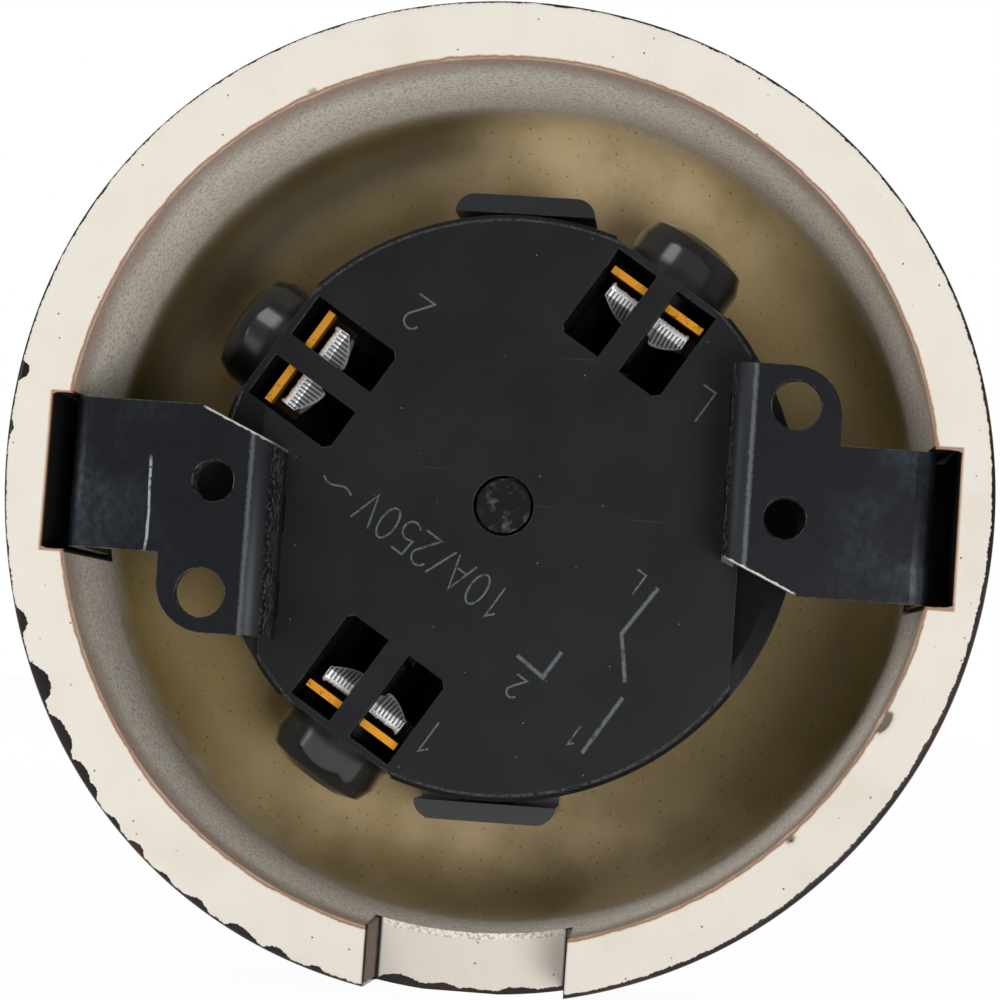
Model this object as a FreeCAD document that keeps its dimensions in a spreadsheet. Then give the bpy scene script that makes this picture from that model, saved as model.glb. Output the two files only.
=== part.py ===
import FreeCAD, Part
import math
import os
import re
import Sketcher
from FreeCAD import Placement, Rotation, Vector

# Surface-mounted rotary two-way light switch in a round ceramic housing.
# Bench frame while modelling: the origin is where the spindle axis meets the wall plane,
# x to the right and y up as seen from the wall, z towards the wall, so the depth is -z.
# Each piece's Placement turns that frame into the installed one: z up, back face on y = 0.

doc = FreeCAD.newDocument("rotary_switch")
sheet = doc.addObject("Spreadsheet::Sheet", "Dims")

driving = {
    # ceramic housing
    "rim_radius": 40.3, "rim_width": 4.7, "housing_height": 28.0, "cavity_depth": 22.0,
    "straight_depth": 11.0, "wall_draft": 0.8, "cavity_fillet": 4.5, "front_step": 3.2,
    "shoulder_radius": 9.0, "dome_drop": 1.8, "seat_radius": 13.0, "rim_edge": 0.5,
    "slot_width": 12.9, "slot_wall": 3.5, "slot_depth": 17.0,
    "notch_width": 15.8, "notch_depth": 8.0,
    # mechanism base, with its terminals on rays from the axis
    "base_radius": 24.5, "back_depth": 8.0, "split_depth": 17.0, "back_wall": 2.2,
    "edge_step": 0.6, "tail_hole_radius": 2.53, "chamber_wall": 11.3, "inner_wall": 1.45,
    "terminal_angle": 57.5, "flat_drop": 0.9, "flat_half": 5.8, "face_wall": 0.6,
    "wire_half": 5.03, "corner_nib": 0.5, "rib_half": 1.03, "rib_height": 1.5,
    "collar_radius": 4.95, "collar_length": 3.4, "collar_edge": 1.9, "screw_depth": 13.5,
    "step_inset": 1.4, "step_drop": 1.0, "pad_run": 3.2, "pad_half": 4.6,
    # cover of the mechanism
    "lug_half": 5.9, "lug_thick": 1.55, "lug_depth": 9.6, "lug_gap": 0.25, "lug_edge": 1.6,
    # brass strip, clamp and screw of one terminal
    "strip_thick": 0.65, "head_room": 1.8, "strip_half": 4.6, "strip_depth": 9.7,
    "foot_half": 1.2, "contact_inset": 2.8, "rivet_radius": 1.3, "rivet_height": 0.55,
    "ring_outer": 7.4, "ring_inner": 4.2, "screw_radius": 1.5, "screw_head_radius": 2.6,
    "screw_head_height": 2.0, "tip_gap": 0.65, "screw_slot": 0.7, "wire_gap": 0.6,
    "clamp_thick": 1.0, "clamp_half": 3.9, "clamp_bow": 1.1, "clamp_height": 5.2,
    "clamp_slope": 2.0, "clamp_nose": 1.4,
    # turning parts
    "spindle_radius": 3.0, "tail_radius": 2.26, "tail_depth": 8.35, "spindle_flat": 2.3,
    "spindle_over": 13.0, "cam_flat": 6.1, "cam_tip": 7.6, "cam_height": 3.6,
    "boss_half": 4.3, "bridge_half": 2.4, "bridge_thick": 0.5, "spring_thick": 0.4,
    # bush, nut and washer through the ceramic
    "bush_radius": 5.0, "bush_flange_radius": 8.0, "bush_flange": 1.5, "bush_over": 0.8,
    "hole_play": 0.35, "washer_radius": 8.4, "washer_thick": 0.8, "nut_flats": 14.0,
    "nut_thick": 2.4,
    # knob
    "knob_radius": 17.0, "knob_gap": 0.8, "knob_skirt": 9.0, "knob_edge": 2.2,
    "grip_half": 4.2, "grip_reach": 15.6, "grip_height": 8.0, "knob_hollow": 10.2,
    "hollow_height": 4.6, "grub_radius": 1.5, "grub_length": 5.0, "grip_round": 1.0,
    "skirt_round": 0.8, "pointer_half": 0.6, "pointer_length": 5.0, "pointer_depth": 0.5,
    # sheet brackets
    "sheet_thick": 1.0, "bend_radius": 1.1, "flange_inset": 6.2, "flange_top": 12.35,
    "flange_low": -3.4, "gap_high": 0.4, "gap_low": 0.25, "ear_width": 8.85,
    "ear_radius": 4.0, "slant_width": 6.2, "leg_gap": 0.7, "leg_kick": 0.1,
    "leg_depth": 14.0, "tapped_run": 4.8, "tapped_radius": 1.68, "neck_radius": 2.6,
    "neck_length": 1.6, "ear_hole_run": 5.2, "ear_hole_y": 9.1, "ear_hole_radius": 2.0,
    "tongue_length": 2.4, "tongue_half": 1.5, "tongue_low": 0.4, "tongue_high": 7.6,
    # clearances
    "fit_play": 0.05, "slide_play": 0.2,
}
# places that follow from the sizes above, so that the fits hold when one of them changes
derived = {
    "slot_reach": "rim_radius - slot_wall",
    "front_radius": "rim_radius - front_step",
    "mouth_radius": "rim_radius - rim_width",
    "chamber_radius": "base_radius - chamber_wall",
    "wire_near": "chamber_radius + inner_wall",
    "terminal_flat": "base_radius - flat_drop",
    "wire_far": "terminal_flat - face_wall",
    "collar_end": "base_radius + collar_length",
    "lug_reach": "base_radius + lug_gap + lug_thick",
    "lug_corner_reach": "sqrt(lug_reach ^ 2 + lug_half ^ 2)",
    "strip_near": "wire_far - head_room",
    "contact_radius": "chamber_radius - contact_inset",
    "screw_tip": "wire_near + tip_gap",
    "screw_seat": "strip_near + strip_thick + fit_play",
    "clamp_outer": "strip_near - wire_gap",
    "bush_end": "housing_height + washer_thick + nut_thick + bush_over",
    "spindle_end": "housing_height + spindle_over",
    "flange_face": "base_radius - flange_inset",
    "step_line": "flange_face + step_inset",
    "tapped_place": "flange_face + tapped_run",
    "pad_reach": "tapped_place + pad_run",
    "ear_hole_x": "flange_face + ear_hole_run",
    "ear_side": "flange_face + ear_width",
    "slant_start": "flange_face + slant_width",
    "arm_high": "slot_width / 2 - gap_high",
    "arm_low": "gap_low - slot_width / 2",
    "leg_face": "mouth_radius - leg_gap",
    "grub_depth": "housing_height + knob_gap + hollow_height + grub_radius + slide_play",
}
for row, (alias, value) in enumerate(driving.items(), start=1):
    sheet.set(f"A{row}", alias)
    sheet.set(f"B{row}", str(value))
    sheet.setAlias(f"B{row}", alias)
doc.recompute()

wall = Placement(Vector(0, 0, 0), Rotation(Vector(0, 1, 1), 180))
terminals = {"L": 0, "2": 90, "1": 180}
pieces = []


def spelled_out(expression, prefix=""):
    # replaces each derived place by its own expression, and puts the prefix before each size
    def word(match):
        name = match[0]
        if name in derived:
            return "(" + spelled_out(derived[name], prefix) + ")"
        return prefix + name if name in driving else name

    return re.sub(r"[A-Za-z_]+", word, expression)


def size(expression):
    # a number worked out from the sheet's named sizes
    return float(sheet.evalExpression(spelled_out(expression)))


def on_sheet(expression):
    # the same expression as an object outside the sheet has to write it
    return spelled_out(expression, "Dims.")


def piece(name, turn=0.0):
    # one sub-part: a body, turned about the axis by an angle in degrees
    body = doc.addObject("PartDesign::Body", name)
    body.Label = name
    body.Placement = wall * Placement(Vector(0, 0, 0), Rotation(Vector(0, 0, 1), turn))
    pieces.append(body)
    return body


def origin(body, role):
    return [item for item in body.Origin.OriginFeatures if item.Role == role][0]


def sketch(body, name, plane="XY_Plane", height="0", rise="0", turn=None):
    # height: distance along the plane's normal; rise: shift along the sketch's own y
    outline = body.newObject("Sketcher::SketchObject", name)
    outline.AttachmentSupport = [(origin(body, plane), "")]
    outline.MapMode = "FlatFace"
    outline.AttachmentOffset = Placement(Vector(0, 0, 0), Rotation(Vector(0, 0, 1), 0.0))
    if turn is not None:
        outline.AttachmentOffset = Placement(Vector(0, 0, 0), Rotation(Vector(0, 0, 1), size(turn)))
    outline.setExpression(".AttachmentOffset.Base.z", on_sheet(height))
    outline.setExpression(".AttachmentOffset.Base.y", on_sheet(rise))
    return outline


def pin(outline, index, point, x, y):
    # fixes a sketch point at two expressions of the sheet
    for kind, value in (("DistanceX", x), ("DistanceY", y)):
        row = outline.addConstraint(Sketcher.Constraint(kind, -1, 1, index, point, size(value)))
        outline.setExpression(f"Constraints[{row}]", on_sheet(value))


def polygon(outline, points):
    # a closed outline of straight lines through points given as expressions
    places = [Vector(size(x), size(y), 0) for x, y in points]
    first = outline.GeometryCount
    for number, place in enumerate(places):
        outline.addGeometry(Part.LineSegment(place, places[(number + 1) % len(places)]), False)
    for number, (x, y) in enumerate(points):
        following = first + (number + 1) % len(points)
        outline.addConstraint(Sketcher.Constraint("Coincident", first + number, 2, following, 1))
        pin(outline, first + number, 1, x, y)
    return outline


def rectangle(outline, left, right, low, high):
    return polygon(outline, [(left, low), (right, low), (right, high), (left, high)])


def circle(outline, radius, x="0", y="0"):
    centre = Vector(size(x), size(y), 0)
    index = outline.addGeometry(Part.Circle(centre, Vector(0, 0, 1), size(radius)), False)
    pin(outline, index, 3, x, y)
    row = outline.addConstraint(Sketcher.Constraint("Radius", index, size(radius)))
    outline.setExpression(f"Constraints[{row}]", on_sheet(radius))
    return outline


def extrude(body, kind, name, outline, length, both=False):
    # kind Pad grows towards the wall, kind Pocket cuts away from it
    feature = body.newObject("PartDesign::" + kind, name)
    feature.Profile = outline
    if both:
        feature.Midplane = True
    feature.setExpression("Length", on_sheet(length))
    doc.recompute()
    return feature


def pad(body, name, outline, length, both=False):
    return extrude(body, "Pad", name, outline, length, both)


def pocket(body, name, outline, length, both=False, towards_wall=False):
    feature = extrude(body, "Pocket", name, outline, length, both)
    if towards_wall:
        feature.Reversed = True
        doc.recompute()
    return feature


def revolve(body, name, outline, axis="V_Axis", cut=False):
    feature = body.newObject("PartDesign::Groove" if cut else "PartDesign::Revolution", name)
    feature.Profile = outline
    feature.ReferenceAxis = (outline, [axis])
    feature.Angle = 360
    doc.recompute()
    return feature


def pattern(body, name, features, count, angle):
    # repeats features about the spindle axis
    feature = body.newObject("PartDesign::PolarPattern", name)
    feature.Originals = features
    feature.Axis = (origin(body, "Z_Axis"), [""])
    feature.Angle = angle
    feature.Occurrences = count
    body.Tip = feature
    doc.recompute()
    return feature


def edges(feature, test):
    return [f"Edge{n}" for n, edge in enumerate(feature.Shape.Edges, start=1) if test(edge)]


def soften(body, name, kind, test, amount):
    # kind Fillet or Chamfer on the edges that pass the test
    base = body.Tip
    feature = body.newObject("PartDesign::" + kind, name)
    feature.Base = (base, edges(base, test))
    feature.setExpression("Radius" if kind == "Fillet" else "Size", on_sheet(amount))
    doc.recompute()
    return feature


def ring_edge(edge, radius, height):
    # true for a full circle about the spindle axis
    curve = edge.Curve
    if not isinstance(curve, Part.Circle) or abs(abs(curve.Axis.z) - 1) > 1e-6:
        return False
    off_axis = abs(curve.Center.x) + abs(curve.Center.y)
    wrong = max(abs(curve.Radius - size(radius)), abs(curve.Center.z - size(height)))
    return off_axis < 1e-6 and wrong < 0.01


def upright(edge, x, y):
    # true for a straight edge along z at a place
    if not isinstance(edge.Curve, Part.Line) or abs(abs(edge.Curve.Direction.z) - 1) > 1e-6:
        return False
    place = edge.Vertexes[0].Point
    return abs(place.x - size(x)) < 0.01 and abs(place.y - size(y)) < 0.01


def ceramic_housing():
    # thrown shell: wall, domed front and foot rim in one turned profile
    body = piece("ceramic_housing")
    profile = sketch(body, "shell_profile", "XZ_Plane")
    polygon(profile, [
        ("bush_radius + hole_play", "0 - housing_height"),
        ("seat_radius", "0 - housing_height"),
        ("front_radius", "dome_drop - housing_height"),
        ("rim_radius", "0 - straight_depth"),
        ("rim_radius", "0"),
        ("mouth_radius", "0"),
        ("mouth_radius - wall_draft", "0 - cavity_depth"),
        ("bush_radius + hole_play", "0 - cavity_depth"),
    ])
    revolve(body, "shell", profile)
    soften(body, "shoulder", "Fillet",
           lambda e: ring_edge(e, "front_radius", "dome_drop - housing_height"),
           "shoulder_radius")
    soften(body, "cavity_round", "Fillet",
           lambda e: ring_edge(e, "mouth_radius - wall_draft", "0 - cavity_depth"),
           "min(cavity_fillet; mouth_radius - wall_draft - lug_corner_reach - slide_play)")
    soften(body, "rim_round", "Fillet",
           lambda e: ring_edge(e, "rim_radius", "0") or ring_edge(e, "mouth_radius", "0"),
           "rim_edge")
    slots = sketch(body, "bracket_slots")
    rectangle(slots, "0 - slot_reach", "slot_reach", "0 - slot_width / 2", "slot_width / 2")
    keep = sketch(body, "cable_way")
    rectangle(keep, "0 - notch_width / 2", "notch_width / 2", "0 - rim_radius - 1", "0 - cavity_depth")
    pocket(body, "slot_cut", slots, "slot_depth")
    pocket(body, "cable_notch", keep, "notch_depth")


def mechanism_base():
    # moulded rear shell, turned so that the L terminal lies on the local x axis
    body = piece("mechanism_base", size("terminal_angle"))
    disc = sketch(body, "disc", height="0 - split_depth")
    circle(disc, "base_radius")
    pad(body, "block", disc, "split_depth - back_depth")
    soften(body, "back_edge", "Chamfer",
           lambda e: ring_edge(e, "base_radius", "0 - back_depth"), "edge_step")
    step = sketch(body, "side_steps", height="0 - back_depth", turn="0 - terminal_angle")
    rectangle(step, "step_line", "base_radius + 1", "0 - base_radius", "base_radius")
    rectangle(step, "0 - base_radius - 1", "0 - step_line", "0 - base_radius", "0 - flange_low")
    pocket(body, "side_steps_cut", step, "step_drop")
    flat = sketch(body, "terminal_face", height="0 - back_depth")
    rectangle(flat, "terminal_flat", "base_radius + 1", "0 - flat_half", "flat_half")
    flat_cut = pocket(body, "terminal_flat_cut", flat, "split_depth - back_depth")
    pattern(body, "terminal_flats", [flat_cut], 3, 180)
    collar = sketch(body, "collar_section", "XZ_Plane", rise="0 - screw_depth")
    polygon(collar, [
        ("wire_far", "0"), ("collar_end", "0"),
        ("collar_end", "collar_radius - collar_edge"),
        ("collar_end - collar_edge * 0.3", "collar_radius - collar_edge * 0.3"),
        ("collar_end - collar_edge", "collar_radius"),
        ("wire_far", "collar_radius"),
    ])
    collar_boss = revolve(body, "collar", collar, "H_Axis")
    pattern(body, "collars", [collar_boss], 3, 180)
    room = sketch(body, "inner_room", height="0 - split_depth")
    circle(room, "chamber_radius")
    pocket(body, "inner_chamber", room, "split_depth - back_depth - back_wall", towards_wall=True)
    hole = sketch(body, "tail_hole", height="0 - back_depth")
    circle(hole, "tail_hole_radius")
    pocket(body, "tail_hole_cut", hole, "split_depth")
    chamber = sketch(body, "wire_chamber", height="0 - split_depth")
    rectangle(chamber, "wire_near", "wire_far", "0 - wire_half", "wire_half")
    chamber_cut = pocket(body, "wire_chamber_cut", chamber,
                         "split_depth - back_depth - rib_height", towards_wall=True)
    window = sketch(body, "wire_windows", height="0 - back_depth")
    for side in ("", "0 - "):
        polygon(window, [
            ("wire_near", side + "rib_half"), ("wire_far", side + "rib_half"),
            ("wire_far", side + "wire_half"), ("wire_near + corner_nib", side + "wire_half"),
            ("wire_near", f"{side}(wire_half - corner_nib)"),
        ])
    window_cut = pocket(body, "wire_windows_cut", window, "rib_height + 1")
    gate = sketch(body, "strip_gate", height="0 - split_depth")
    rectangle(gate, "chamber_radius - 1", "wire_near + 1",
              "0 - foot_half - slide_play", "foot_half + slide_play")
    gate_cut = pocket(body, "strip_gate_cut", gate, "strip_thick + slide_play", towards_wall=True)
    bore = sketch(body, "driver_bore", "XZ_Plane", rise="0 - screw_depth")
    rectangle(bore, "wire_near + 1", "collar_end + 1", "0", "screw_head_radius + slide_play")
    bore_cut = revolve(body, "driver_bore_cut", bore, "H_Axis", cut=True)
    pattern(body, "terminal_cuts", [chamber_cut, window_cut, gate_cut, bore_cut], 3, 180)
    pads = sketch(body, "screw_pads", height="0 - split_depth", turn="0 - terminal_angle")
    for near, far in (("step_line", "pad_reach"), ("0 - pad_reach", "0 - step_line")):
        rectangle(pads, near, far, "0 - pad_half", "pad_half")
    pad(body, "screw_pad_blocks", pads, "split_depth - back_depth - step_drop")
    for side, turn in (("right", 0), ("left", 180)):
        tongues = sketch(body, "tongue_slots_" + side, height="0 - back_depth",
                         turn=f"{turn} - terminal_angle")
        for low in ("tongue_low", "tongue_high"):
            rectangle(tongues, "flange_face - fit_play", "flange_face + sheet_thick + fit_play",
                      f"{low} - fit_play", f"{low} + 2 * tongue_half + fit_play")
        pocket(body, "tongue_slots_cut_" + side, tongues, "tongue_length + slide_play")


def lug_corner(edge):
    # true for an upright edge at an outer corner of a lug
    if not isinstance(edge.Curve, Part.Line) or abs(abs(edge.Curve.Direction.z) - 1) > 1e-6:
        return False
    place = edge.Vertexes[0].Point
    return abs(math.hypot(place.x, place.y) - size("lug_corner_reach")) < 0.01


def mechanism_cover():
    # moulded front shell, with the two lugs that grip the base at top and bottom
    body = piece("mechanism_cover", size("terminal_angle"))
    disc = sketch(body, "disc", height="0 - cavity_depth")
    circle(disc, "base_radius")
    pad(body, "plate", disc, "cavity_depth - split_depth")
    hollow = sketch(body, "collar_section", "XZ_Plane", rise="0 - screw_depth")
    rectangle(hollow, "wire_near", "collar_end", "0", "collar_radius + slide_play")
    hollow_cut = revolve(body, "collar_hollow", hollow, "H_Axis", cut=True)
    pattern(body, "collar_hollows", [hollow_cut], 3, 180)
    lug = sketch(body, "lugs", height="0 - cavity_depth", turn="0 - terminal_angle")
    foot = "base_radius + lug_gap"
    rectangle(lug, "0 - lug_half", "lug_half", foot, "lug_reach")
    rectangle(lug, "0 - lug_half", "lug_half", "0 - lug_reach", f"0 - ({foot})")
    pad(body, "lug_walls", lug, "cavity_depth - lug_depth")
    web = sketch(body, "lug_feet", height="0 - cavity_depth", turn="0 - terminal_angle")
    rectangle(web, "0 - lug_half", "lug_half", "0 - lug_reach", "lug_reach")
    pad(body, "lug_roots", web, "cavity_depth - split_depth")
    soften(body, "lug_corners", "Fillet", lug_corner, "lug_edge")
    seat = sketch(body, "flange_seat", height="0 - split_depth")
    circle(seat, "bush_flange_radius + slide_play")
    pocket(body, "flange_seat_cut", seat, "bush_flange + slide_play")
    hole = sketch(body, "bush_hole", height="0 - split_depth")
    circle(hole, "bush_radius + fit_play")
    pocket(body, "bush_hole_cut", hole, "cavity_depth")


def threaded_bush():
    body = piece("threaded_bush")
    profile = sketch(body, "bush_profile", "XZ_Plane")
    polygon(profile, [
        ("spindle_radius + fit_play", "0 - split_depth - slide_play"),
        ("bush_flange_radius", "0 - split_depth - slide_play"),
        ("bush_flange_radius", "0 - split_depth - slide_play - bush_flange"),
        ("bush_radius", "0 - split_depth - slide_play - bush_flange"),
        ("bush_radius", "0.6 - bush_end"),
        ("bush_radius - 0.6", "0 - bush_end"),
        ("spindle_radius + fit_play", "0 - bush_end"),
    ])
    revolve(body, "bush", profile)


def fibre_washer():
    body = piece("fibre_washer")
    ring = sketch(body, "ring", height="0 - housing_height - washer_thick")
    circle(ring, "washer_radius")
    circle(ring, "bush_radius + slide_play")
    pad(body, "washer", ring, "washer_thick")


def ring_nut():
    # hexagon nut on the bush, under the knob
    body = piece("ring_nut")
    hexagon = sketch(body, "hexagon", height="0 - housing_height - washer_thick - nut_thick")
    points = [(f"nut_flats / 2 / cos(30) * cos({60 * n})", f"nut_flats / 2 / cos(30) * sin({60 * n})")
              for n in range(6)]
    polygon(hexagon, points)
    circle(hexagon, "bush_radius + fit_play")
    pad(body, "nut", hexagon, "nut_thick")


def spindle():
    # turned steel, with a flat for the rotor and the knob and a tail in the base
    body = piece("spindle")
    profile = sketch(body, "spindle_profile", "XZ_Plane")
    polygon(profile, [
        ("0", "0 - tail_depth"), ("tail_radius", "0 - tail_depth"),
        ("tail_radius", "0 - back_depth - back_wall - slide_play"),
        ("spindle_radius", "0 - back_depth - back_wall - slide_play"),
        ("spindle_radius", "0.5 - spindle_end"), ("spindle_radius - 0.5", "0 - spindle_end"),
        ("0", "0 - spindle_end"),
    ])
    revolve(body, "shaft", profile)
    flat = sketch(body, "knob_flat", height="0 - bush_end - fit_play")
    rectangle(flat, "spindle_flat", "spindle_radius + 1", "0 - spindle_radius", "spindle_radius")
    pocket(body, "knob_flat_cut", flat, "spindle_end")
    seat = sketch(body, "rotor_flat", height="0 - back_depth - back_wall")
    rectangle(seat, "spindle_flat", "spindle_radius + 1", "0 - spindle_radius", "spindle_radius")
    pocket(body, "rotor_flat_cut", seat, "split_depth - back_depth - back_wall - slide_play")


def rotor():
    # moulded cam with four flats for the detent and a boss that drives the bridge
    body = piece("rotor", size("terminal_angle"))
    top = "0 - back_depth - back_wall - slide_play"
    cam = sketch(body, "cam", height=f"{top} - cam_height")
    corner = "sqrt(cam_tip ^ 2 - cam_flat ^ 2)"
    points = []
    for x, y in (("cam_flat", corner), (corner, "cam_flat")):
        points.append([(x, y), (f"0 - {y}", x), (f"0 - {x}", f"0 - {y}"), (y, f"0 - {x}")])
    polygon(cam, [points[end][quarter] for quarter in range(4) for end in range(2)])
    pad(body, "cam_block", cam, "cam_height")
    boss = sketch(body, "boss", height="0 - split_depth + strip_thick + rivet_height + slide_play")
    rectangle(boss, "0 - boss_half", "boss_half", "0 - boss_half", "boss_half")
    pad(body, "boss_block", boss, "split_depth - strip_thick - rivet_height - back_depth - back_wall"
        " - 2 * slide_play - cam_height")
    bore = sketch(body, "bore", height="0 - back_depth")
    circle(bore, "spindle_radius + fit_play")
    pocket(body, "bore_cut", bore, "split_depth")


def detent_springs():
    # two flat springs that snap against the cam, drawn lifted clear of its corners
    body = piece("detent_springs", size("terminal_angle"))
    leaf = sketch(body, "leaves", height="0 - back_depth - back_wall - cam_height")
    near, far = "(cam_tip + slide_play)", "(cam_tip + slide_play + spring_thick)"
    reach = f"(sqrt(chamber_radius ^ 2 - {far} ^ 2) - slide_play)"
    rectangle(leaf, f"0 - {reach}", reach, near, far)
    rectangle(leaf, f"0 - {reach}", reach, f"0 - {far}", f"0 - {near}")
    pad(body, "springs", leaf, "cam_height - 2 * slide_play")


def contact_bridge():
    # sprung brass strip with an arm each way, turned with the rotor
    body = piece("contact_bridge", size("terminal_angle") + 90)
    level = "0 - split_depth + strip_thick + rivet_height + fit_play"
    strip = sketch(body, "strip", height=level)
    rectangle(strip, "0 - contact_radius - rivet_radius", "contact_radius + rivet_radius",
              "0 - bridge_half", "bridge_half")
    pad(body, "arms", strip, "bridge_thick")
    hub = sketch(body, "hub", height="0 - split_depth + strip_thick + fit_play")
    circle(hub, "ring_outer - 0.4")
    pad(body, "hub_plate", hub, "rivet_height + bridge_thick")
    bore = sketch(body, "bore", height="0 - back_depth")
    rectangle(bore, "0 - boss_half - fit_play", "boss_half + fit_play",
              "0 - boss_half - fit_play", "boss_half + fit_play")
    pocket(body, "bore_cut", bore, "split_depth")


def contact_strip(mark, turn):
    # brass strip: a leg behind the wires, a foot to the inner room and a contact rivet
    body = piece("contact_strip_" + mark, size("terminal_angle") + turn)
    side = sketch(body, "strip_section", "XZ_Plane")
    near = "ring_outer - 1" if mark == "L" else "contact_radius - rivet_radius - 0.6"
    polygon(side, [
        (near, "0 - split_depth"), ("strip_near + strip_thick", "0 - split_depth"),
        ("strip_near + strip_thick", "0 - strip_depth"), ("strip_near", "0 - strip_depth"),
        ("strip_near", "strip_thick - split_depth"), (near, "strip_thick - split_depth"),
    ])
    pad(body, "strip", side, "2 * strip_half", both=True)
    trim = sketch(body, "foot_trim", height="1 - split_depth")
    rectangle(trim, "0", "strip_near - 1.5", "foot_half", "strip_half + 1")
    rectangle(trim, "0", "strip_near - 1.5", "0 - strip_half - 1", "0 - foot_half")
    pocket(body, "foot_trim_cut", trim, "2")
    hole = sketch(body, "screw_hole", "YZ_Plane", height="strip_near - 1", rise="0 - screw_depth")
    circle(hole, "screw_radius + slide_play")
    pocket(body, "screw_hole_cut", hole, "3", towards_wall=True)
    rivet = sketch(body, "rivet", height="strip_thick - split_depth")
    circle(rivet, "rivet_radius", "contact_radius")
    pad(body, "contact_rivet", rivet, "rivet_height")
    if mark == "L":
        ring = sketch(body, "ring", height="0 - split_depth")
        circle(ring, "ring_outer")
        circle(ring, "ring_inner")
        pad(body, "slip_ring", ring, "strip_thick")


def terminal_clamp(mark, turn):
    # saddle of bent steel sheet: its middle stands inwards with a slope above and below, and
    # the wires are gripped between its bent-out edges and the brass strip
    body = piece("terminal_clamp_" + mark, size("terminal_angle") + turn)
    section = sketch(body, "saddle_section", "XZ_Plane", rise="0 - screw_depth")
    polygon(section, [
        ("clamp_outer", "clamp_height / 2"), ("clamp_outer - clamp_thick", "clamp_height / 2"),
        ("clamp_outer - clamp_thick - clamp_bow", "clamp_height / 2 - clamp_slope"),
        ("clamp_outer - clamp_thick - clamp_bow", "clamp_slope - clamp_height / 2"),
        ("clamp_outer - clamp_thick", "0 - clamp_height / 2"), ("clamp_outer", "0 - clamp_height / 2"),
        ("clamp_outer - clamp_bow", "clamp_slope - clamp_height / 2 - 0.2"),
        ("clamp_outer - clamp_bow", "clamp_height / 2 - clamp_slope + 0.2"),
    ])
    pad(body, "saddle", section, "2 * clamp_half", both=True)
    plan = sketch(body, "end_trim", height="1 - screw_depth + clamp_height / 2")
    for side in ("", "0 - "):
        polygon(plan, [
            ("clamp_outer - clamp_thick", side + "clamp_half"),
            ("clamp_outer - clamp_thick", side + "(clamp_half + 1)"),
            ("clamp_outer - 4", side + "(clamp_half + 1)"), ("clamp_outer - 4", side + "clamp_nose"),
            ("clamp_outer - clamp_thick - clamp_bow", side + "clamp_nose"),
        ])
    pocket(body, "end_trim_cut", plan, "clamp_height + 2")
    hole = sketch(body, "thread", "YZ_Plane", height="clamp_outer - 4", rise="0 - screw_depth")
    circle(hole, "screw_radius + fit_play")
    pocket(body, "thread_cut", hole, "6", towards_wall=True)


def terminal_screw(mark, turn):
    # cheese-head screw on a ray from the axis, its head against the brass strip
    body = piece("terminal_screw_" + mark, size("terminal_angle") + turn)
    profile = sketch(body, "screw_profile", "XZ_Plane", rise="0 - screw_depth")
    polygon(profile, [
        ("screw_tip", "0"), ("screw_seat + screw_head_height", "0"),
        ("screw_seat + screw_head_height", "screw_head_radius - 0.3"),
        ("screw_seat + screw_head_height - 0.3", "screw_head_radius"),
        ("screw_seat", "screw_head_radius"), ("screw_seat", "screw_radius"),
        ("screw_tip + 0.4", "screw_radius"), ("screw_tip", "screw_radius - 0.4"),
    ])
    revolve(body, "screw", profile, "H_Axis")
    slot = sketch(body, "driver_slot", "XZ_Plane", rise="0 - screw_depth")
    rectangle(slot, "screw_seat + screw_head_height * 0.45", "screw_seat + screw_head_height + 1",
              "0 - screw_slot / 2", "screw_slot / 2")
    pocket(body, "driver_slot_cut", slot, "3 * screw_head_radius", both=True)


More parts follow.
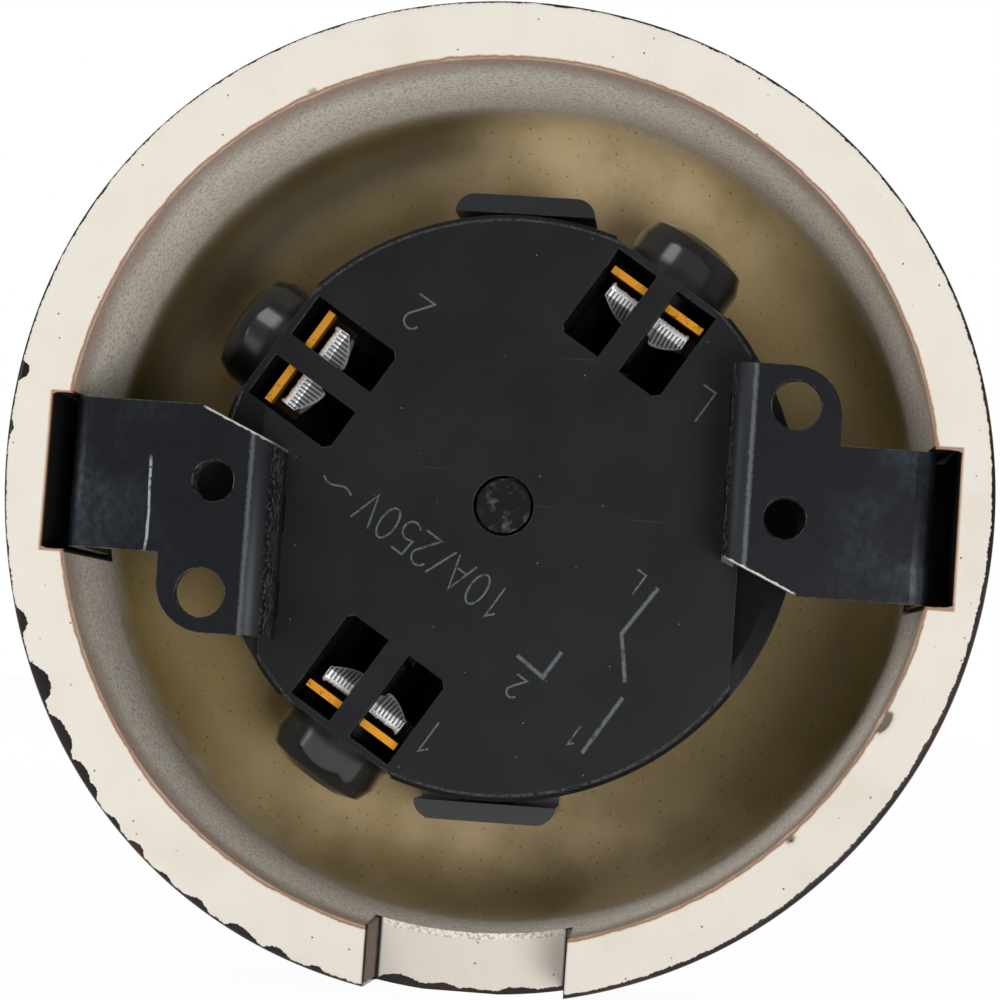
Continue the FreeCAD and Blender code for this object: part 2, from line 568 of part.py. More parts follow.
def bracket(name, turn):
    # sheet steel strap: tongues and flange on the base, flat arm with an ear, leg in the slot
    body = piece(name, turn)
    strap = sketch(body, "strap_section", "XZ_Plane")
    polygon(strap, [
        ("flange_face", "0"), ("leg_face", "0"),
        ("leg_face + leg_kick", "0 - leg_depth"),
        ("leg_face + leg_kick - sheet_thick", "0 - leg_depth"),
        ("leg_face - sheet_thick", "0 - sheet_thick"),
        ("flange_face + sheet_thick", "0 - sheet_thick"),
        ("flange_face + sheet_thick", "0 - back_depth"), ("flange_face", "0 - back_depth"),
    ])
    pad(body, "strap", strap, "4 * flange_top", both=True)

    def bend(edge, x, z):
        # true for a straight edge across the strap at a place of its section
        ends = [vertex.Point for vertex in edge.Vertexes]
        place = [size(x), size(z)]
        return len(ends) == 2 and all(math.dist((p.x, p.z), place) < 0.01 for p in ends)

    soften(body, "outer_bends", "Fillet",
           lambda e: bend(e, "flange_face", "0") or bend(e, "leg_face", "0"),
           "bend_radius + sheet_thick / 2")
    soften(body, "inner_bends", "Fillet",
           lambda e: bend(e, "flange_face + sheet_thick", "0 - sheet_thick")
           or bend(e, "leg_face - sheet_thick", "0 - sheet_thick"), "bend_radius - sheet_thick / 2")
    blank = sketch(body, "blank_trim")
    beyond = "leg_face + leg_kick + 1"
    over = "2 * flange_top + 1"
    polygon(blank, [
        ("flange_face - 1", "flange_top"), ("ear_side", "flange_top"), ("ear_side", "arm_high"),
        (beyond, "arm_high"), (beyond, over), ("flange_face - 1", over),
    ])
    polygon(blank, [
        ("flange_face - 1", "0 - (" + over + ")"), (beyond, "0 - (" + over + ")"), (beyond, "arm_low"),
        ("slant_start", "arm_low"), ("flange_face", "flange_low"), ("flange_face - 1", "flange_low"),
    ])
    pocket(body, "blank_trim_cut", blank, "leg_depth + 1")
    soften(body, "ear_corner", "Fillet", lambda e: upright(e, "ear_side", "flange_top"), "ear_radius")
    holes = sketch(body, "holes")
    circle(holes, "tapped_radius", "tapped_place", "0")
    circle(holes, "ear_hole_radius", "ear_hole_x", "ear_hole_y")
    pocket(body, "holes_cut", holes, "2 * sheet_thick")
    neck = sketch(body, "screw_neck", height="0 - sheet_thick - neck_length")
    circle(neck, "neck_radius", "tapped_place", "0")
    circle(neck, "tapped_radius", "tapped_place", "0")
    pad(body, "drawn_neck", neck, "neck_length")
    tongues = sketch(body, "tongues", height="0 - back_depth - tongue_length")
    for low in ("tongue_low", "tongue_high"):
        rectangle(tongues, "flange_face", "flange_face + sheet_thick", low, f"{low} + 2 * tongue_half")
    pad(body, "tongue_blades", tongues, "tongue_length")


def top_edge(edge):
    # true for an edge round the front face of the grip bar
    level = 0 - size("housing_height + knob_gap + knob_skirt + grip_height")
    return all(abs(vertex.Point.z - level) < 0.01 for vertex in edge.Vertexes)


def knob():
    # moulded knob: round skirt with a tapered grip bar, hollow under the skirt for the nut
    body = piece("knob")
    back = "0 - housing_height - knob_gap"
    skirt = sketch(body, "skirt", "XZ_Plane")
    polygon(skirt, [
        ("0", back), ("knob_radius", back), ("knob_radius", f"{back} - knob_skirt / 2"),
        ("knob_radius - knob_edge", f"{back} - knob_skirt"), ("0", f"{back} - knob_skirt"),
    ])
    revolve(body, "skirt_turned", skirt)
    bar = sketch(body, "grip_bar", height=f"{back} - knob_skirt - grip_height")
    polygon(bar, [
        ("0 - grip_half", "0 - grip_reach * 0.92"), ("0", "0 - grip_reach"),
        ("grip_half", "0 - grip_reach * 0.92"), ("grip_half * 0.8", "grip_reach * 0.95"),
        ("0", "grip_reach"), ("0 - grip_half * 0.8", "grip_reach * 0.95"),
    ])
    pad(body, "grip", bar, "grip_height + 1")
    soften(body, "grip_edges", "Fillet", top_edge, "grip_round")
    soften(body, "skirt_edges", "Fillet",
           lambda e: ring_edge(e, "knob_radius", f"{back} - knob_skirt / 2"), "skirt_round")
    pointer = sketch(body, "pointer", height=f"{back} - knob_skirt - grip_height")
    rectangle(pointer, "0 - pointer_half", "pointer_half",
              "grip_reach - pointer_length - 2 * grip_round", "grip_reach - 2 * grip_round")
    pocket(body, "pointer_groove", pointer, "pointer_depth", towards_wall=True)
    hollow = sketch(body, "hollow", height=back)
    circle(hollow, "knob_hollow")
    pocket(body, "hollow_cut", hollow, "hollow_height")
    bore = sketch(body, "bore", height=back)
    circle(bore, "spindle_radius + fit_play")
    pocket(body, "bore_cut", bore, "spindle_end - housing_height - knob_gap + slide_play")
    grub = sketch(body, "grub_hole", "YZ_Plane", rise="0 - grub_depth")
    circle(grub, "grub_radius + fit_play")
    pocket(body, "grub_hole_cut", grub, "knob_radius + 1", towards_wall=True)


def knob_grub_screw():
    body = piece("knob_grub_screw")
    end = sketch(body, "thread", "YZ_Plane", height="spindle_flat + fit_play", rise="0 - grub_depth")
    circle(end, "grub_radius")
    pad(body, "grub", end, "grub_length")


ceramic_housing()
mechanism_base()
mechanism_cover()
threaded_bush()
fibre_washer()
ring_nut()
spindle()
rotor()
detent_springs()
contact_bridge()
for terminal, quarter in terminals.items():
    contact_strip(terminal, quarter)
    terminal_clamp(terminal, quarter)
    terminal_screw(terminal, quarter)
bracket("bracket_right", 0)
bracket("bracket_left", 180)
knob()
knob_grub_screw()
doc.recompute()

for item in doc.Objects:
    if "Invalid" in item.State or "Error" in item.State:
        raise RuntimeError(f"{item.Label} failed: {item.State}")
for body in pieces:
    shape = body.Shape
    if shape.isNull() or not shape.isValid() or not shape.Solids:
        raise RuntimeError(f"{body.Label} has no valid shape")

os.makedirs("parts", exist_ok=True)
for body in pieces:
    body.Shape.exportStep(f"parts/{body.Label}.step")
    box = body.Shape.BoundBox
    print(f"{body.Label:20s} solids {len(body.Shape.Solids)} volume {body.Shape.Volume:9.1f} "
          f"x {box.XMin:6.1f} {box.XMax:6.1f} y {box.YMin:6.1f} {box.YMax:6.1f} "
          f"z {box.ZMin:6.1f} {box.ZMax:6.1f}")
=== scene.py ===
import math

import bpy
import numpy as np
from mathutils import Matrix, Vector


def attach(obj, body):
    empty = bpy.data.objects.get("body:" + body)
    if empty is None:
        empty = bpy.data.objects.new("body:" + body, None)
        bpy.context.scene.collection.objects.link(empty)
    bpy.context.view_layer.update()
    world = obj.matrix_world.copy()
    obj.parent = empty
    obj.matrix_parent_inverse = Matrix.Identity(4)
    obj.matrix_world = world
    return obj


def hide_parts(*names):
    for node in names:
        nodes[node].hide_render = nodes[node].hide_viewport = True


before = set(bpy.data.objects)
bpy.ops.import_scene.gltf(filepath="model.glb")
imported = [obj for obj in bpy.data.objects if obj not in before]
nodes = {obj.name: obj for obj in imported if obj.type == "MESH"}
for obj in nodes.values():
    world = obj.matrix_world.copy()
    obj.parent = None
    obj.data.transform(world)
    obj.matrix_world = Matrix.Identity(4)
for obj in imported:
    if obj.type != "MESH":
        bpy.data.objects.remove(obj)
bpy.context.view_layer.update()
mm = 0.001
print("frame loaded")


def linear(hexColour):
    # sRGB hex to the linear colour that the shaders want
    parts = [int(hexColour[i:i + 2], 16) / 255 for i in (0, 2, 4)]
    return [c / 12.92 if c <= 0.04045 else ((c + 0.055) / 1.055) ** 2.4 for c in parts] + [1.0]


def addNode(tree, kind, inputs=(), output=0, **settings):
    # adds a node with its settings, links the inputs that are sockets, and returns one output
    made = tree.nodes.new("ShaderNode" + kind)
    for name, value in settings.items():
        setattr(made, name, value)
    for key, value in (inputs.items() if isinstance(inputs, dict) else enumerate(inputs)):
        if isinstance(value, bpy.types.NodeSocket):
            tree.links.new(value, made.inputs[key])
        else:
            made.inputs[key].default_value = value
    return made.outputs[output] if made.outputs else made


def startMaterial(name):
    material = bpy.data.materials.new(name)
    material.use_nodes = True
    material.node_tree.nodes.clear()
    tree = material.node_tree
    return material, tree, addNode(tree, "TexCoord", output=3)


def meshPiece(name, points, faces, smooth=True):
    mesh = bpy.data.meshes.new(name)
    mesh.from_pydata(np.asarray(points).tolist(), [], [list(face) for face in faces])
    mesh.update()
    if smooth:
        mesh.shade_smooth()
    piece = bpy.data.objects.new(name, mesh)
    bpy.context.scene.collection.objects.link(piece)
    return piece


def gridFaces(rows, columns, closeRows, closeColumns, start=0):
    # quads of a rows by columns grid of points, wrapped round where asked
    i, j = np.meshgrid(np.arange(rows if closeRows else rows - 1),
                       np.arange(columns if closeColumns else columns - 1), indexing="ij")
    i, j = i.ravel(), j.ravel()
    ni, nj = (i + 1) % rows, (j + 1) % columns
    quads = np.stack([i * columns + j, i * columns + nj, ni * columns + nj, ni * columns + j], 1)
    return (quads + start).tolist()


def waves(along, seed, harmonics, size):
    # a smooth random curve of a position in radians: a sum of a few sines
    draw = np.random.default_rng(seed)
    total = np.zeros_like(along)
    for k in harmonics:
        total += draw.normal() / k ** 0.5 * np.sin(k * along + draw.uniform(0, 2 * math.pi))
    return size * total / len(harmonics) ** 0.5


shell = {
    "rim": 40.3, "mouth": 35.6, "height": 28.0, "cavity": 22.0, "draft": 0.8, "fillet": 4.5,
    "straight": 11.0, "frontStep": 3.2, "shoulder": 9.0, "domeDrop": 1.8, "seat": 13.0,
    "hole": 5.35, "lip": 0.45, "mouthLip": 0.2, "slotHalf": 6.45, "slotReach": 36.8, "slotDepth": 17.0,
    "notchHalf": 7.9, "notchDepth": 8.0, "columns": 540, "chip": 0.7, "chipsFrom": 200,
    "outOfRound": [(0, 0.133, 0.0), (1, -0.394, 0.362), (2, -0.244, -0.019), (3, 0.147, 0.119),
                   (4, -0.176, 0.021)],  # waves round the rim: how many, cosine and sine in mm
    "glazeBites": [(168, 0.9, 0.75), (175, 0.5, 0.3), (199, 1.0, 0.7), (206.5, 1.5, 1.1), (212.5, 1.6, 0.85),
                   (217, 1.2, 0.7), (219.5, 0.8, 0.55), (224, 0.7, 0.35), (228, 0.8, 0.5), (232.5, 0.7, 0.3),
                   (237, 0.8, 0.5), (242.5, 1.3, 0.55), (247, 1.0, 0.45), (252, 0.7, 0.35), (261.5, 2.0, 0.6),
                   (266.5, 1.7, 0.5), (270, 0.8, 0.3), (276, 1.8, 0.35)],
    # where round the rim the glaze crept onto the foot: degrees, half length and depth in mm
    "innerChips": [(334.9, 0.9, 0.9), (314.7, 0.5, 0.45), (118.3, 0.6, 0.3)],  # chips of its inner edge
}


def roundedProfile(corners, radii):
    # closed outline through corners rounded by their radii; its points stand close together
    # round the rim and at the depths of the notch and the slots, and far apart elsewhere
    corners = np.array(corners, float)
    outline = []
    for k, here in enumerate(corners):
        before, after = corners[k - 1], corners[(k + 1) % len(corners)]
        toBefore = (before - here) / np.linalg.norm(before - here)
        toAfter = (after - here) / np.linalg.norm(after - here)
        half = math.acos(np.clip(toBefore @ toAfter, -1, 1)) / 2
        cut = radii[k] / math.tan(half)
        middle = (toBefore + toAfter) / np.linalg.norm(toBefore + toAfter)
        centre = here + middle * radii[k] / math.sin(half)
        start, end = here + toBefore * cut - centre, here + toAfter * cut - centre
        first, last = math.atan2(start[1], start[0]), math.atan2(end[1], end[0])
        turn = (last - first + math.pi) % (2 * math.pi) - math.pi
        angles = first + turn * np.linspace(0, 1, 5 + int(radii[k]))
        outline.append(centre + radii[k] * np.stack([np.cos(angles), np.sin(angles)], 1))
    points = np.concatenate(outline)
    dense = []
    for here, after in zip(points, np.roll(points, -1, 0)):
        length = np.linalg.norm(after - here)
        fine = here + (after - here) * np.linspace(0, 1, int(length / 0.1) + 2)[:, None]
        radius, depth = fine[:, 0], fine[:, 1]
        step = np.full(len(fine), 1.5)
        step[(radius > 33) & (depth < 20)] = 1.0
        step[(radius > 33) & (depth < 2.5)] = 0.33
        step[(radius > 33) & (radius < 38) & (np.abs(depth - shell["slotDepth"]) < 0.3)] = 0.1
        step[(radius > 33) & (np.abs(depth - shell["notchDepth"]) < 0.35)] = 0.12
        gone = np.concatenate([[0], np.cumsum(length / (len(fine) - 1) / step[1:])])
        count = max(1, round(gone[-1]))
        dense.append(fine[np.searchsorted(gone, np.arange(count) * gone[-1] / count)])
    return np.concatenate(dense)


def ceramicShell():
    # a turned profile carried round the axis: point = (-radius cos angle, -depth, radius sin angle).
    # In the slots the inner wall's radius is raised to slotReach, in the notch the wall's depth
    # is raised to notchDepth, and beside both the columns run parallel to their middle line.
    s = shell
    corners = [
        (s["hole"], s["cavity"]), (s["mouth"] - s["draft"], s["cavity"]), (s["mouth"], 0.0),
        (s["rim"], 0.0), (s["rim"], s["straight"]),
        (s["rim"] - s["frontStep"], s["height"] - s["domeDrop"]),
        (s["seat"], s["height"]), (s["hole"], s["height"]),
    ]
    radii = [0.3, s["fillet"], s["mouthLip"], s["lip"], 4.0, s["shoulder"], 3.0, 0.5]
    profile = roundedProfile(corners, radii)
    middleWall = (s["rim"] + s["mouth"]) / 2
    spots = [np.linspace(0, 2 * math.pi, s["columns"], endpoint=False)]
    for middle, half in ((0.0, s["slotHalf"]), (math.pi, s["slotHalf"]), (1.5 * math.pi, s["notchHalf"])):
        for side in (-1, 1):
            at = middle + side * math.asin(half / middleWall)
            spots.append(at + np.linspace(-0.5, 0.5, 11) / middleWall)
    angle = np.unique(np.concatenate(spots) % (2 * math.pi))
    rows, columns = len(profile), len(angle)
    radius = np.repeat(profile[:, :1], columns, 1)
    depth = np.repeat(profile[:, 1:], columns, 1)
    around = np.repeat(angle[None, :], rows, 0)
    for middle in (0.0, math.pi, 1.5 * math.pi):
        off = (angle - middle + math.pi) % (2 * math.pi) - math.pi
        near = np.clip((0.62 - np.abs(off)) / 0.25, 0, 1)
        straight = middleWall * np.sin(off)[None, :] / np.maximum(radius, 30.0)
        bent = np.arcsin(np.clip(straight, -1, 1))
        around = around + near[None, :] * np.clip((radius - 30) / 3, 0, 1) * (bent - off[None, :])
    across, up = np.cos(angle) * middleWall, np.sin(angle) * middleWall
    inNotch = np.where(up < 0, 1 / (1 + np.exp((np.abs(across) - s["notchHalf"]) / 0.045)), 0)
    inSlot = 1 / (1 + np.exp((np.abs(up) - s["slotHalf"]) / 0.04))
    ofWall = radius > s["mouth"] - s["draft"] - 1.2
    depth = np.where(ofWall, np.maximum(depth, s["notchDepth"] * inNotch[None, :]), depth)
    for place, half, sunk in s["innerChips"]:
        off = (angle - math.radians(place) + math.pi) % (2 * math.pi) - math.pi
        chip = sunk * np.exp(-(off * s["mouth"] / half) ** 2) * np.clip((s["mouth"] + 1.0 - radius) / 0.5, 0, 1)
        depth = np.where(ofWall, np.maximum(depth, chip), depth)
    nominal = radius
    share = np.where(radius > s["slotReach"], 1.0, 0.7) * np.clip((radius - 33) / 1.5, 0, 1)
    share = share * np.clip((s["height"] - depth) / 6, 0, 1)
    seen = angle - math.radians(4)
    lobes = sum(a * np.cos(k * seen) + b * np.sin(k * seen) for k, a, b in s["outOfRound"])
    radius = radius + share * (lobes + waves(angle, 3, (5, 7, 11), 0.05))[None, :]
    inside = ofWall & (depth < s["slotDepth"])
    flatEnd = s["slotReach"] * inSlot[None, :] / np.maximum(np.abs(np.cos(around)), 0.9)
    radius = np.where(inside, np.maximum(radius, flatEnd), radius)
    chips = np.clip(waves(angle, 11, (31, 47, 83, 131, 173), 1.0) - 0.5, 0, None)
    lower = 0.12 + np.clip(np.cos(angle - math.radians(s["chipsFrom"])), 0, 1) ** 4
    chips = np.clip(chips * lower * s["chip"] * 1.6, 0, s["chip"])
    radius = radius - chips[None, :] * np.exp(-(depth / 1.3) ** 2) * (radius > 38.6)
    unevenness = 0.04 + np.clip(waves(angle, 5, (3, 4, 9, 17), 0.03), -0.03, 0.05)
    depth = depth + (depth < 0.6) * unevenness[None, :]
    points = np.stack([-radius * np.cos(around), -depth, radius * np.sin(around)], -1)
    piece = meshPiece("ceramic_shell", points.reshape(-1, 3) * mm, gridFaces(rows, columns, True, True))
    # the glaze follows the clay: its lines are drawn at the radius before the rim went out of
    # round, and bites with round fronts reach from the outer wall onto the foot
    bites = 0.03 + np.clip(waves(angle, 8, (41, 67, 97, 139), 0.2), 0, 0.35)
    bites = bites + 0.28 * np.clip(np.cos(angle - math.radians(322)), 0, 1) ** 3
    for place, half, reach in s["glazeBites"]:
        off = (angle - math.radians(place) + math.pi) % (2 * math.pi) - math.pi
        bump = reach * np.sqrt(np.clip(1 - (off * s["rim"] / half) ** 2, 0, 1))
        bites = np.maximum(bites, bump * (1 + waves(angle, 9, (53, 89, 151), 0.2)))
    outside = np.arange(rows) >= np.argmax(profile[:, 0] > s["rim"] - 0.03)
    around = {"across": nominal, "outside": np.repeat(outside[:, None], columns, 1),
              "bite": np.repeat(bites[None, :], rows, 0)}
    for name, values in around.items():
        layer = piece.data.attributes.new(name, "FLOAT", "POINT")
        layer.data.foreach_set("value", np.asarray(values, np.float32).ravel())
    return piece


stoneware = {
    "foot": "e1dacf", "footStain": "d3c6b4", "chipped": "49382a", "pinhole": "6d5440", "scorch": "5d3017",
    "outerGlaze": "17100d", "wallBand": "efe8db", "wallDark": "b3a79a", "wallFoot": "a28776",
    "ring": "463b22", "slot": "0c0a08",
    "floorGlaze": "8a774c", "floorLitGlaze": "c8b188", "floorDark": "70603a", "speck": "2c2413",
    "orange": "8f5a2c", "notchSide": "7f6e63", "notchEdge": "1a120e",
}


def stonewareMaterial():
    # stoneware, thrown by hand: bare cream foot, thin grey-brown glaze on the inner wall, olive
    # satin glaze with specks on the floor and a near-black brown gloss glaze outside
    material, tree, spot = startMaterial("glazed_stoneware")
    tint = {key: linear(value) for key, value in stoneware.items()}
    x, y, z = (addNode(tree, "SeparateXYZ", [spot], k) for k in range(3))
    x = addNode(tree, "Math", [x, 1000.0], operation="MULTIPLY")
    z = addNode(tree, "Math", [z, 1000.0], operation="MULTIPLY")
    depth = addNode(tree, "Math", [y, -1000.0], operation="MULTIPLY")
    flat = addNode(tree, "CombineXYZ", [x, z, 0.0])
    radius = addNode(tree, "Attribute", output="Fac", attribute_name="across")
    outside = addNode(tree, "Attribute", output="Fac", attribute_name="outside")
    crept = addNode(tree, "Attribute", output="Fac", attribute_name="bite")
    # noises by their real grain: 0.3 mm grit, 1.2 mm ragged glaze edge, 4 mm, 7 mm and 16 mm clouds
    grit = addNode(tree, "TexNoise", {0: spot, "Scale": 1000 / 0.3, "Detail": 2.0, "Roughness": 0.8})
    ragged = addNode(tree, "TexNoise", {0: spot, "Scale": 1000 / 1.2, "Detail": 3.0, "Roughness": 0.65})
    edgeCloud = addNode(tree, "TexNoise", {0: spot, "Scale": 1000 / 4.0, "Detail": 2.0})
    cloud = addNode(tree, "TexNoise", {0: spot, "Scale": 1000 / 7.0, "Detail": 4.0, "Roughness": 0.6})
    broad = addNode(tree, "TexNoise", {0: spot, "Scale": 1000 / 16.0, "Detail": 3.0})

    # bare foot: cream clay with faint stains, sparse pinholes about 0.2 mm wide and grit
    stain = addNode(tree, "MapRange", {0: broad, 1: 0.5, 2: 0.8, 4: 0.35}, interpolation_type="SMOOTHSTEP")
    foot = addNode(tree, "Mix", {0: stain, 6: tint["foot"], 7: tint["footStain"]}, 2, data_type="RGBA")
    mottle = addNode(tree, "MapRange", {0: edgeCloud, 1: 0.42, 2: 0.72, 4: 0.2},
                     interpolation_type="SMOOTHSTEP")
    foot = addNode(tree, "Mix", {0: mottle, 6: foot, 7: tint["footStain"]}, 2, data_type="RGBA")
    gritty = addNode(tree, "MapRange", {0: grit, 1: 0.66, 2: 0.8, 4: 0.35})
    foot = addNode(tree, "Mix", {0: gritty, 6: foot, 7: tint["pinhole"]}, 2, data_type="RGBA")
    cells = {0: flat, "Scale": 1 / 3.1}
    nearest = addNode(tree, "TexVoronoi", cells, voronoi_dimensions="2D")
    chosen = addNode(tree, "SeparateColor", [addNode(tree, "TexVoronoi", cells, 1, voronoi_dimensions="2D")])
    chosen = addNode(tree, "MapRange", {0: chosen, 1: 0.55, 2: 0.9})
    pinhole = addNode(tree, "MapRange", {0: nearest, 1: 0.034, 2: 0.018, 4: chosen})
    foot = addNode(tree, "Mix", {0: pinhole, 6: foot, 7: tint["pinhole"]}, 2, data_type="RGBA")

    # olive floor: lighter clouds of glaze kept to the top and bottom and a lighter spot near the top, partly the
    # glaze's own clouds and partly painted light; both sides stay darker in painted shade
    ends = addNode(tree, "Math", [z], operation="ABSOLUTE")
    ends = addNode(tree, "MapRange", {0: ends, 1: 17.0, 2: 30.0}, interpolation_type="SMOOTHSTEP")
    pooledAndLit = addNode(tree, "MapRange", {0: broad, 1: 0.34, 2: 0.58, 3: 0.2}, interpolation_type="SMOOTHSTEP")
    pooledAndLit = addNode(tree, "Math", [pooledAndLit, ends], operation="MULTIPLY")
    paintedLitSpot = addNode(tree, "VectorMath", [flat, (-8.0, 31.0, 0.0)], 1, operation="DISTANCE")
    paintedLitSpot = addNode(tree, "MapRange", {0: paintedLitSpot, 1: 17.0, 2: 5.0, 4: 0.9}, interpolation_type="SMOOTHSTEP")
    pooledAndLit = addNode(tree, "Math", [pooledAndLit, paintedLitSpot], operation="MAXIMUM")
    floor = addNode(tree, "Mix", {0: pooledAndLit, 6: tint["floorGlaze"], 7: tint["floorLitGlaze"]}, 2, data_type="RGBA")
    thin = addNode(tree, "MapRange", {0: cloud, 1: 0.62, 2: 0.34, 4: 0.3}, interpolation_type="SMOOTHSTEP")
    floor = addNode(tree, "Mix", {0: thin, 6: floor, 7: tint["floorDark"]}, 2, data_type="RGBA")
    cells = {0: flat, "Scale": 1 / 0.85}
    speckPlace = addNode(tree, "TexVoronoi", cells, voronoi_dimensions="2D")
    speckKind = addNode(tree, "SeparateColor", [addNode(tree, "TexVoronoi", cells, 1, voronoi_dimensions="2D")])
    speckKind = addNode(tree, "MapRange", {0: speckKind, 1: 0.62, 2: 1.0, 4: 0.9})
    speck = addNode(tree, "MapRange", {0: speckPlace, 1: 0.12, 2: 0.05, 4: speckKind})
    floor = addNode(tree, "Mix", {0: speck, 6: floor, 7: tint["speck"]}, 2, data_type="RGBA")

    # inner wall: thin glaze over grit, pinker brown right at the foot, darker further down in painted shade, running
    # into the floor
    sandy = addNode(tree, "MapRange", {0: grit, 1: 0.34, 2: 0.54}, interpolation_type="SMOOTHSTEP")
    band = addNode(tree, "Mix", {0: sandy, 6: tint["wallDark"], 7: tint["wallBand"]}, 2, data_type="RGBA")
    down = addNode(tree, "Math", [cloud, 5.0, depth], operation="MULTIPLY_ADD")
    nearFoot = addNode(tree, "MapRange", {0: down, 1: 9.0, 2: 3.0, 4: 0.8}, interpolation_type="SMOOTHSTEP")
    band = addNode(tree, "Mix", {0: nearFoot, 6: band, 7: tint["wallFoot"]}, 2, data_type="RGBA")
    shaded = addNode(tree, "MapRange", {0: down, 1: 12.0, 2: 20.0, 4: 0.4}, interpolation_type="SMOOTHSTEP")
    band = addNode(tree, "Mix", {0: shaded, 6: band, 7: tint["wallDark"]}, 2, data_type="RGBA")
    toFloor = addNode(tree, "MapRange", {0: down, 1: 18.0, 2: 22.5}, interpolation_type="SMOOTHSTEP")
    inside = addNode(tree, "Mix", {0: toFloor, 6: band, 7: floor}, 2, data_type="RGBA")
    # where the wall meets the floor a dark band: partly glaze that ran together and fired darker, partly painted
    # shade, strongest at the upper left and kept off the painted lit spot
    ring = addNode(tree, "Math", [cloud, 2.0, radius], operation="MULTIPLY_ADD")
    ring = addNode(tree, "MapRange", {0: ring, 1: 29.8, 2: 34.0}, interpolation_type="SMOOTHSTEP")
    shadeUpLeft = addNode(tree, "VectorMath", [spot, (720.0, 0.0, 690.0)], 1, operation="DOT_PRODUCT")
    shadeUpLeft = addNode(tree, "MapRange", {0: shadeUpLeft, 1: 14.0, 2: 31.0, 3: 0.15, 4: 0.95},
                     interpolation_type="SMOOTHSTEP")
    ring = addNode(tree, "Math", [ring, shadeUpLeft], operation="MULTIPLY")
    ring = addNode(tree, "Math", [ring, addNode(tree, "Math", [1.0, paintedLitSpot], operation="SUBTRACT")],
                   operation="MULTIPLY")
    low = addNode(tree, "MapRange", {0: depth, 1: 15.5, 2: 20.0}, interpolation_type="SMOOTHSTEP")
    ring = addNode(tree, "Math", [ring, low], operation="MULTIPLY")
    inside = addNode(tree, "Mix", {0: ring, 6: inside, 7: tint["ring"]}, 2, data_type="RGBA")

    # the slots are painted nearly black as painted shadow, with an orange-brown line where they meet the foot
    level = addNode(tree, "Math", [z], operation="ABSOLUTE")
    inSlot = addNode(tree, "MapRange", {0: level, 1: 6.62, 2: 6.5})
    wide = addNode(tree, "Math", [x], operation="ABSOLUTE")
    inSlot = addNode(tree, "Math", [inSlot, addNode(tree, "MapRange", {0: wide, 1: 33.9, 2: 34.2})],
                     operation="MULTIPLY")
    below = addNode(tree, "MapRange", {0: depth, 1: 0.12, 2: 0.5})
    above = addNode(tree, "MapRange", {0: depth, 1: 17.4, 2: 17.1})
    slotDark = addNode(tree, "Math", [addNode(tree, "Math", [inSlot, below], operation="MULTIPLY"), above],
                       operation="MULTIPLY")
    inside = addNode(tree, "Mix", {0: slotDark, 6: inside, 7: tint["slot"]}, 2, data_type="RGBA")

    # the foot starts at a ragged line near the mouth
    wavy = addNode(tree, "Math", [ragged, 0.3, radius], operation="MULTIPLY_ADD")
    wavy = addNode(tree, "Math", [edgeCloud, 0.25, wavy], operation="MULTIPLY_ADD")
    onFoot = addNode(tree, "MapRange", {0: wavy, 1: 36.08, 2: 36.16})
    chipped = addNode(tree, "MapRange", {0: depth, 1: 0.18, 2: 0.35, 4: 0.85})
    for limit in ({0: depth, 1: 1.6, 2: 1.4}, {0: radius, 1: 38.0, 2: 37.5}):
        chipped = addNode(tree, "Math", [chipped, addNode(tree, "MapRange", limit)], operation="MULTIPLY")
    foot = addNode(tree, "Mix", {0: chipped, 6: foot, 7: tint["chipped"]}, 2, data_type="RGBA")
    body = addNode(tree, "Mix", {0: onFoot, 6: inside, 7: foot}, 2, data_type="RGBA")
    # the painted shadow of the slots is laid again over the foot
    notSlotShadow = addNode(tree, "Math", [1.0, slotDark], operation="SUBTRACT")
    body = addNode(tree, "Mix", {0: notSlotShadow, 6: tint["slot"], 7: body}, 2, data_type="RGBA")
    lineIn = addNode(tree, "MapRange", {0: wavy, 1: 35.92, 2: 36.02})
    lineOut = addNode(tree, "MapRange", {0: wavy, 1: 36.24, 2: 36.12, 4: 0.7})
    line = addNode(tree, "Math", [lineIn, lineOut], operation="MULTIPLY")
    slotLine = addNode(tree, "MapRange", {0: wide, 1: 37.05, 2: 36.85, 4: 0.8})
    slotLine = addNode(tree, "Math", [slotLine, inSlot], operation="MULTIPLY")
    line = addNode(tree, "Math", [line, slotLine], operation="MAXIMUM")
    high = addNode(tree, "MapRange", {0: depth, 1: 0.6, 2: 0.4})
    line = addNode(tree, "Math", [line, high], operation="MULTIPLY")
    body = addNode(tree, "Mix", {0: line, 6: body, 7: tint["orange"]}, 2, data_type="RGBA")

    # the notch's cut sides: brown and gritty, with dark glaze along their edges
    notchSide = addNode(tree, "MapRange", {0: wide, 1: 7.45, 2: 7.65})
    for limit in ({0: wide, 1: 8.25, 2: 8.1}, {0: z, 1: -33.5, 2: -34.0},
                  {0: depth, 1: 0.1, 2: 0.35}, {0: depth, 1: 8.3, 2: 8.15}):
        notchSide = addNode(tree, "Math", [notchSide, addNode(tree, "MapRange", limit)], operation="MULTIPLY")
    middle = addNode(tree, "Math", [addNode(tree, "Math", [ragged, 1.6, depth], operation="MULTIPLY_ADD"), 4.9],
                     operation="SUBTRACT")
    middle = addNode(tree, "Math", [middle], operation="ABSOLUTE")
    middle = addNode(tree, "MapRange", {0: middle, 1: 3.3, 2: 2.4})
    cut = addNode(tree, "Mix", {0: middle, 6: tint["notchEdge"], 7: tint["notchSide"]}, 2, data_type="RGBA")
    body = addNode(tree, "Mix", {0: notchSide, 6: body, 7: cut}, 2, data_type="RGBA")

